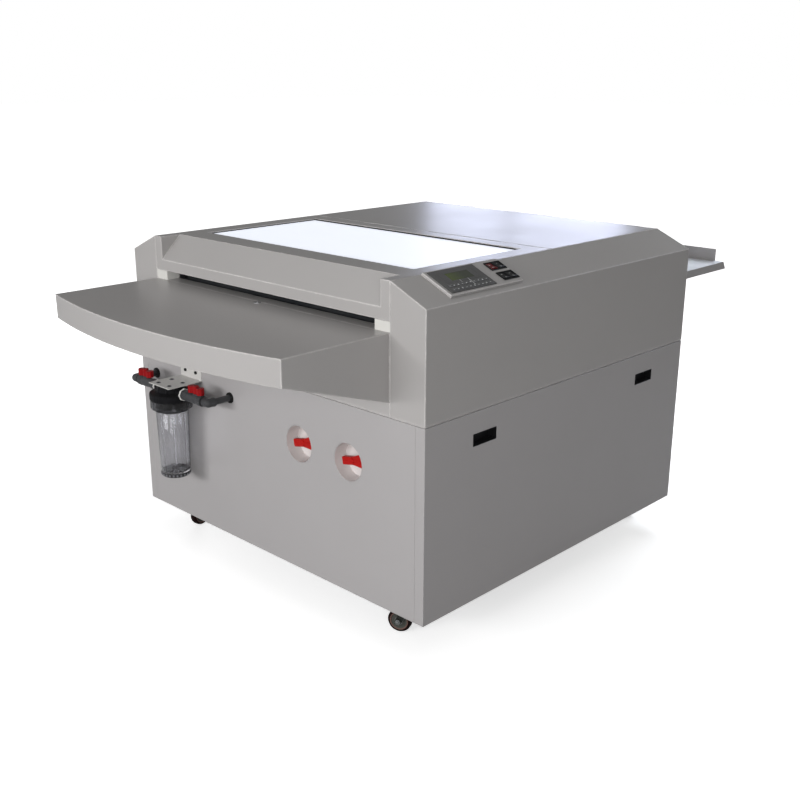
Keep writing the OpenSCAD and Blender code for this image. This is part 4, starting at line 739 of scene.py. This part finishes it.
# Roller train: two steel side frames carry rubber feed and exit rollers and a brush roller in
# white bushes, over two plastic tanks.
dress("roller_frames", zinc, 0.0006)
bush = plastic("white_bush", (0.74, 0.74, 0.71, 1), 0.4, 700.0, 0.1)
dress("roller_bearings", bush, 0.0004)
tank = plastic("tank_plastic", (0.55, 0.55, 0.53, 1), 0.45, 300.0, 0.25)
dress("process_tanks", tank, 0.001)
roller_rubber = plastic("roller_rubber", (0.022, 0.024, 0.027, 1), 0.5, 350.0, 0.7)
gear_nylon = plastic("gear_nylon", (0.32, 0.31, 0.28, 1), 0.45, 600.0, 0.3)
rubber_end, gear_start, journal_radius = 0.4541, 0.4715, 0.0105
for name in ("feed_roller_lower", "feed_roller_upper", "exit_roller_lower", "exit_roller_upper"):
    dress(name, roller_rubber, 0.0003)
    for extra in (bolt_steel, gear_nylon):
        cad[name].data.materials.append(extra)
    low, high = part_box(name)
    mid = (low + high) / 2
    for face in cad[name].data.polygons:
        out = abs(face.center.x)
        if out > rubber_end:
            from_axis = math.hypot(face.center.y - mid.y, face.center.z - mid.z)
            face.material_index = 2 if out > gear_start and from_axis > journal_radius else 1

# Brush roller: nylon bristles wound in a spiral strip round a core, with steel journals and
# a sprocket at its right end.
bristle, bristle_tree, bristle_shader = new_finish("brush_bristle")
hair_at = add_node(bristle_tree, "TexCoord").outputs["Object"]
tuft = add_node(bristle_tree, "TexNoise", Vector=hair_at, Scale=520.0, Detail=3.0).outputs["Fac"]
hair = use_effect(bristle_tree, moulded, Color=(0.62, 0.61, 0.55, 1), Grain=800.0, Gloss=0.6, Bloom=0.4)
tufted = mixed(bristle_tree, tuft, (0.25, 0.24, 0.20, 1), hair["Color"])
bristle_tree.links.new(tufted, bristle_shader.inputs["Base Color"])
bristle_tree.links.new(hair["Roughness"], bristle_shader.inputs["Roughness"])
bumped = add_node(bristle_tree, "Bump", Strength=0.7, Distance=0.0012, Height=tuft)
bristle_tree.links.new(bumped.outputs["Normal"], bristle_shader.inputs["Normal"])
brush_in, brush_z, brush_half, brush_radius = 0.340, 0.8984, 0.454, 0.0302
core = Matrix.Translation((0, front_y + brush_in, brush_z)) @ lie
turns, steps, rows = 26, 60, 280
points, faces = [], []
for k in range(rows + 1):
    x = -brush_half + 2 * brush_half * k / rows
    for i in range(steps):
        a = 2 * math.pi * i / steps
        wind = math.sin(a - 2 * math.pi * turns * k / rows)
        fray = 0.0007 * math.sin(12.9898 * k + 78.233 * i) * math.sin(39.425 * i + 11.135 * k)
        r = brush_radius + 0.0012 * max(-0.6, wind) + fray
        points.append((r * math.cos(a), r * math.sin(a), x))
for k in range(rows):
    for i in range(steps):
        j = (i + 1) % steps
        faces.append(([k * steps + i, k * steps + j, (k + 1) * steps + j, (k + 1) * steps + i], 0))
faces.append((list(range(steps))[::-1], 0))
faces.append((list(range(rows * steps, (rows + 1) * steps)), 0))
journal = lathe([(0.0, -0.470), (0.0092, -0.470), (0.010, -0.4692), (0.010, 0.4792), (0.0092, 0.480),
                 (0.0, 0.480)], 32)
tooth_count = 20
tooth = ((0.0292, -0.30), (0.0326, -0.12), (0.0326, 0.12), (0.0292, 0.30))
teeth = []
for k in range(tooth_count):
    for r, part in tooth:
        a = 2 * math.pi * (k + part) / tooth_count
        teeth.append((r * math.cos(a), r * math.sin(a)))
make("brush_bristles", [((points, faces), core, 0), (journal, core, 1), (prism(teeth, 0.4725, 0.4795), core, 1)],
     [bristle, bolt_steel], "brush_roller", ["brush_roller"], crisp=60)

# Drive: a roller chain runs round the sprockets of the lower rollers and under the brush's,
# and a gear motor on the right frame drives it.
chain_front, chain_back, chain_z, chain_radius = front_y + 0.092, front_y + 1.135, 0.8358, 0.0269
chain_pitch = 0.0127
span = chain_back - chain_front
loop = 2 * span + 2 * math.pi * chain_radius
count = 2 * round(loop / chain_pitch / 2)


def along_chain(s):
    s = s % loop
    if s < span:
        return chain_front + s, chain_z + chain_radius, 0.0
    s -= span
    if s < math.pi * chain_radius:
        a = math.pi / 2 - s / chain_radius
        return chain_back + chain_radius * math.cos(a), chain_z + chain_radius * math.sin(a), a - math.pi / 2
    s -= math.pi * chain_radius
    if s < span:
        return chain_back - s, chain_z - chain_radius, math.pi
    a = -math.pi / 2 - (s - span) / chain_radius
    return chain_front + chain_radius * math.cos(a), chain_z + chain_radius * math.sin(a), a - math.pi / 2


half_link, link_radius, link_sheet, chain_x = 0.0064, 0.0022, 0.0007, 0.476
round_end = [math.pi / 2 + math.pi * k / 5 for k in range(6)]
link = [(-half_link + link_radius * math.cos(a), link_radius * math.sin(a)) for a in round_end]
link += [(half_link - link_radius * math.cos(a), -link_radius * math.sin(a)) for a in round_end]
pin = lathe([(0.0, -0.0038), (0.0014, -0.0038), (0.0014, -0.0021), (0.0022, -0.0020), (0.0022, 0.0020),
             (0.0014, 0.0021), (0.0014, 0.0038), (0.0, 0.0038)], 10)
links = []
to_yz = Matrix(((0, 0, 1, 0), (1, 0, 0, 0), (0, 1, 0, 0), (0, 0, 0, 1)))
for k in range(count):
    y, z, turn = along_chain((k + 0.5) * loop / count)
    at = Matrix.Translation((chain_x, y, z)) @ to_yz @ Matrix.Rotation(turn, 4, "Z")
    gap = 0.0026 if k % 2 else 0.0018
    links += [(prism(link, gap, gap + link_sheet), at, 0), (prism(link, -gap - link_sheet, -gap), at, 0)]
    y, z, turn = along_chain(k * loop / count)
    links.append((pin, Matrix.Translation((chain_x, y, z)) @ to_yz, 0))
chain_steel = metal("chain_steel", (0.34, 0.34, 0.35, 1), 500.0, 0.3)
make("chain_links", links, [chain_steel], "root", ["drive_chain"])
dress("drive_motor", frame_paint, 0.001)
dress("motor_gear", bolt_steel, 0.0002)

# Studio: a pale floor that runs out into white, a white surround, and a dim room with a bright
# ceiling for reflections. A key, a softbox and a wide fill stand in front, a small light and a
# low fill behind, and three panes that only reflections see.
pale, pale_tree, pale_shader = new_finish("pale_floor")
pale_shader.inputs["Roughness"].default_value = 0.9
pale_shader.inputs["Specular IOR Level"].default_value = 0.0
ray = add_node(pale_tree, "LightPath").outputs
shown = maths(pale_tree, "MAXIMUM", ray["Is Camera Ray"], ray["Is Transmission Ray"])
shown = maths(pale_tree, "ADD", shown, maths(pale_tree, "MULTIPLY", ray["Is Glossy Ray"], 0.2), True)
floor_color = mixed(pale_tree, shown, (0.40, 0.40, 0.40, 1), (0.86, 0.86, 0.86, 1))
pale_tree.links.new(floor_color, pale_shader.inputs["Base Color"])
floor_at = add_node(pale_tree, "TexCoord").outputs["Object"]
far = add_node(pale_tree, "VectorMath", {"operation": "LENGTH"}, _0=floor_at).outputs["Value"]
glow = add_node(pale_tree, "MapRange", _0=far, _1=1.3, _2=3.4, _3=0.58, _4=1.0).outputs["Result"]
pale_tree.links.new(maths(pale_tree, "MULTIPLY", shown, glow), pale_shader.inputs["Emission Strength"])
pale_shader.inputs["Emission Color"].default_value = (1, 1, 1, 1)
reach = 40
floor_corners = [(-reach, -reach, 0), (reach, -reach, 0), (reach, reach, 0), (-reach, reach, 0)]
ground = bpy.data.meshes.new("floor")
ground.from_pydata(floor_corners, [], [(0, 1, 2, 3)])
ground.materials.append(pale)
floor = bpy.data.objects.new("floor", ground)
bpy.context.scene.collection.objects.link(floor)
floor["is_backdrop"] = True

world = bpy.data.worlds.new("surround")
bpy.context.scene.world = world
world.use_nodes = True
sky = world.node_tree
ray = add_node(sky, "LightPath").outputs
direct = maths(sky, "MAXIMUM", ray["Is Camera Ray"], ray["Is Transmission Ray"])
way = add_node(sky, "SeparateXYZ", Vector=add_node(sky, "TexCoord").outputs["Generated"]).outputs
wall = add_node(sky, "MapRange", _0=way["Y"], _1=-0.6, _2=-0.15, _3=1.0, _4=0.12).outputs["Result"]
ceiling = add_node(sky, "MapRange", _0=way["Z"], _1=0.44, _2=0.78).outputs["Result"]
room = maths(sky, "MAXIMUM", wall, ceiling)
ambient = add_node(sky, "MapRange", _0=way["Z"], _1=0.0, _2=1.0, _3=0.10, _4=0.35).outputs["Result"]
level = add_node(sky, "Mix", _0=ray["Is Glossy Ray"], _2=ambient, _3=room).outputs[0]
level = add_node(sky, "Mix", _0=direct, _2=level, _3=1.0).outputs[0]
even = add_node(sky, "CombineXYZ", X=level, Y=level, Z=level).outputs[0]
sky.links.new(even, sky.nodes["Background"].inputs["Color"])


def lamp(name, place, aim, size, power, color=(1, 1, 1)):
    light = bpy.data.lights.new(name, "AREA")
    light.shape, light.size, light.size_y = "RECTANGLE", size[0], size[1]
    light.energy, light.color = power, color
    made = bpy.data.objects.new(name, light)
    made.location = place
    made.rotation_euler = (Vector(aim) - Vector(place)).to_track_quat("-Z", "Y").to_euler()
    bpy.context.scene.collection.objects.link(made)
    return made


left_key = lamp("left_key", (-1.5, -6.2, 2.0), (-0.1, -0.5, 0.6), (0.6, 0.6), 56)
front_softbox = lamp("front_softbox", (0.2, -6.2, 2.0), (0.0, -0.5, 0.6), (2.4, 1.4), 130)
right_fill = lamp("right_fill", (3.5, -4.2, 1.7), (0.3, -0.5, 0.6), (2.4, 1.8), 97)
back_light = lamp("back_light", (0.05, 2.2, 1.5), (0.2, 0.9, 0.8), (1.0, 0.6), 27, (0.9, 0.95, 1.0))
low_fill = lamp("low_fill", (-3.4, 2.6, 0.62), (0.0, 0.2, 0.5), (2.2, 0.5), 84)
for light in (left_key, front_softbox, right_fill, back_light, low_fill):
    light.visible_glossy = False
back_light.visible_camera = low_fill.visible_camera = False
pane_blue = (0.74, 0.79, 1.0)
for name, place, (width, height), strength in (("left_pane", (-4.04, 5.0, 1.75), (0.74, 1.6), 4.4),
                                               ("middle_pane", (-2.92, 5.0, 1.75), (0.98, 1.6), 4.4),
                                               ("right_pane", (3.1, 5.0, 3.2), (2.0, 1.6), 8.2)):
    power = strength * math.pi * width * height
    pane = lamp(name, place, (place[0] * 0.4, 0, place[2]), (width, height), power, pane_blue)
    pane.visible_diffuse = pane.visible_transmission = pane.visible_camera = False

eye = bpy.data.cameras.new("camera")
eye.lens, eye.sensor_width = 46.87, 36.0
camera = bpy.data.objects.new("camera", eye)
yaw, pitch, roll = math.radians(43.902), math.radians(17.665), math.radians(0.183)
look = Vector((-math.sin(yaw) * math.cos(pitch), math.cos(yaw) * math.cos(pitch), -math.sin(pitch)))
right = Vector((math.cos(yaw), math.sin(yaw), 0))
up = right.cross(look)
right, up = right * math.cos(roll) + up * math.sin(roll), up * math.cos(roll) - right * math.sin(roll)
turn = Matrix((right, up, -look)).transposed().to_4x4()
eye_at = (2.246, -2.4375, 1.481)
camera.matrix_world = Matrix.Translation(eye_at) @ turn
bpy.context.scene.collection.objects.link(camera)
bpy.context.scene.camera = camera
bpy.context.scene.view_settings.view_transform = "Standard"

low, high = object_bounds()
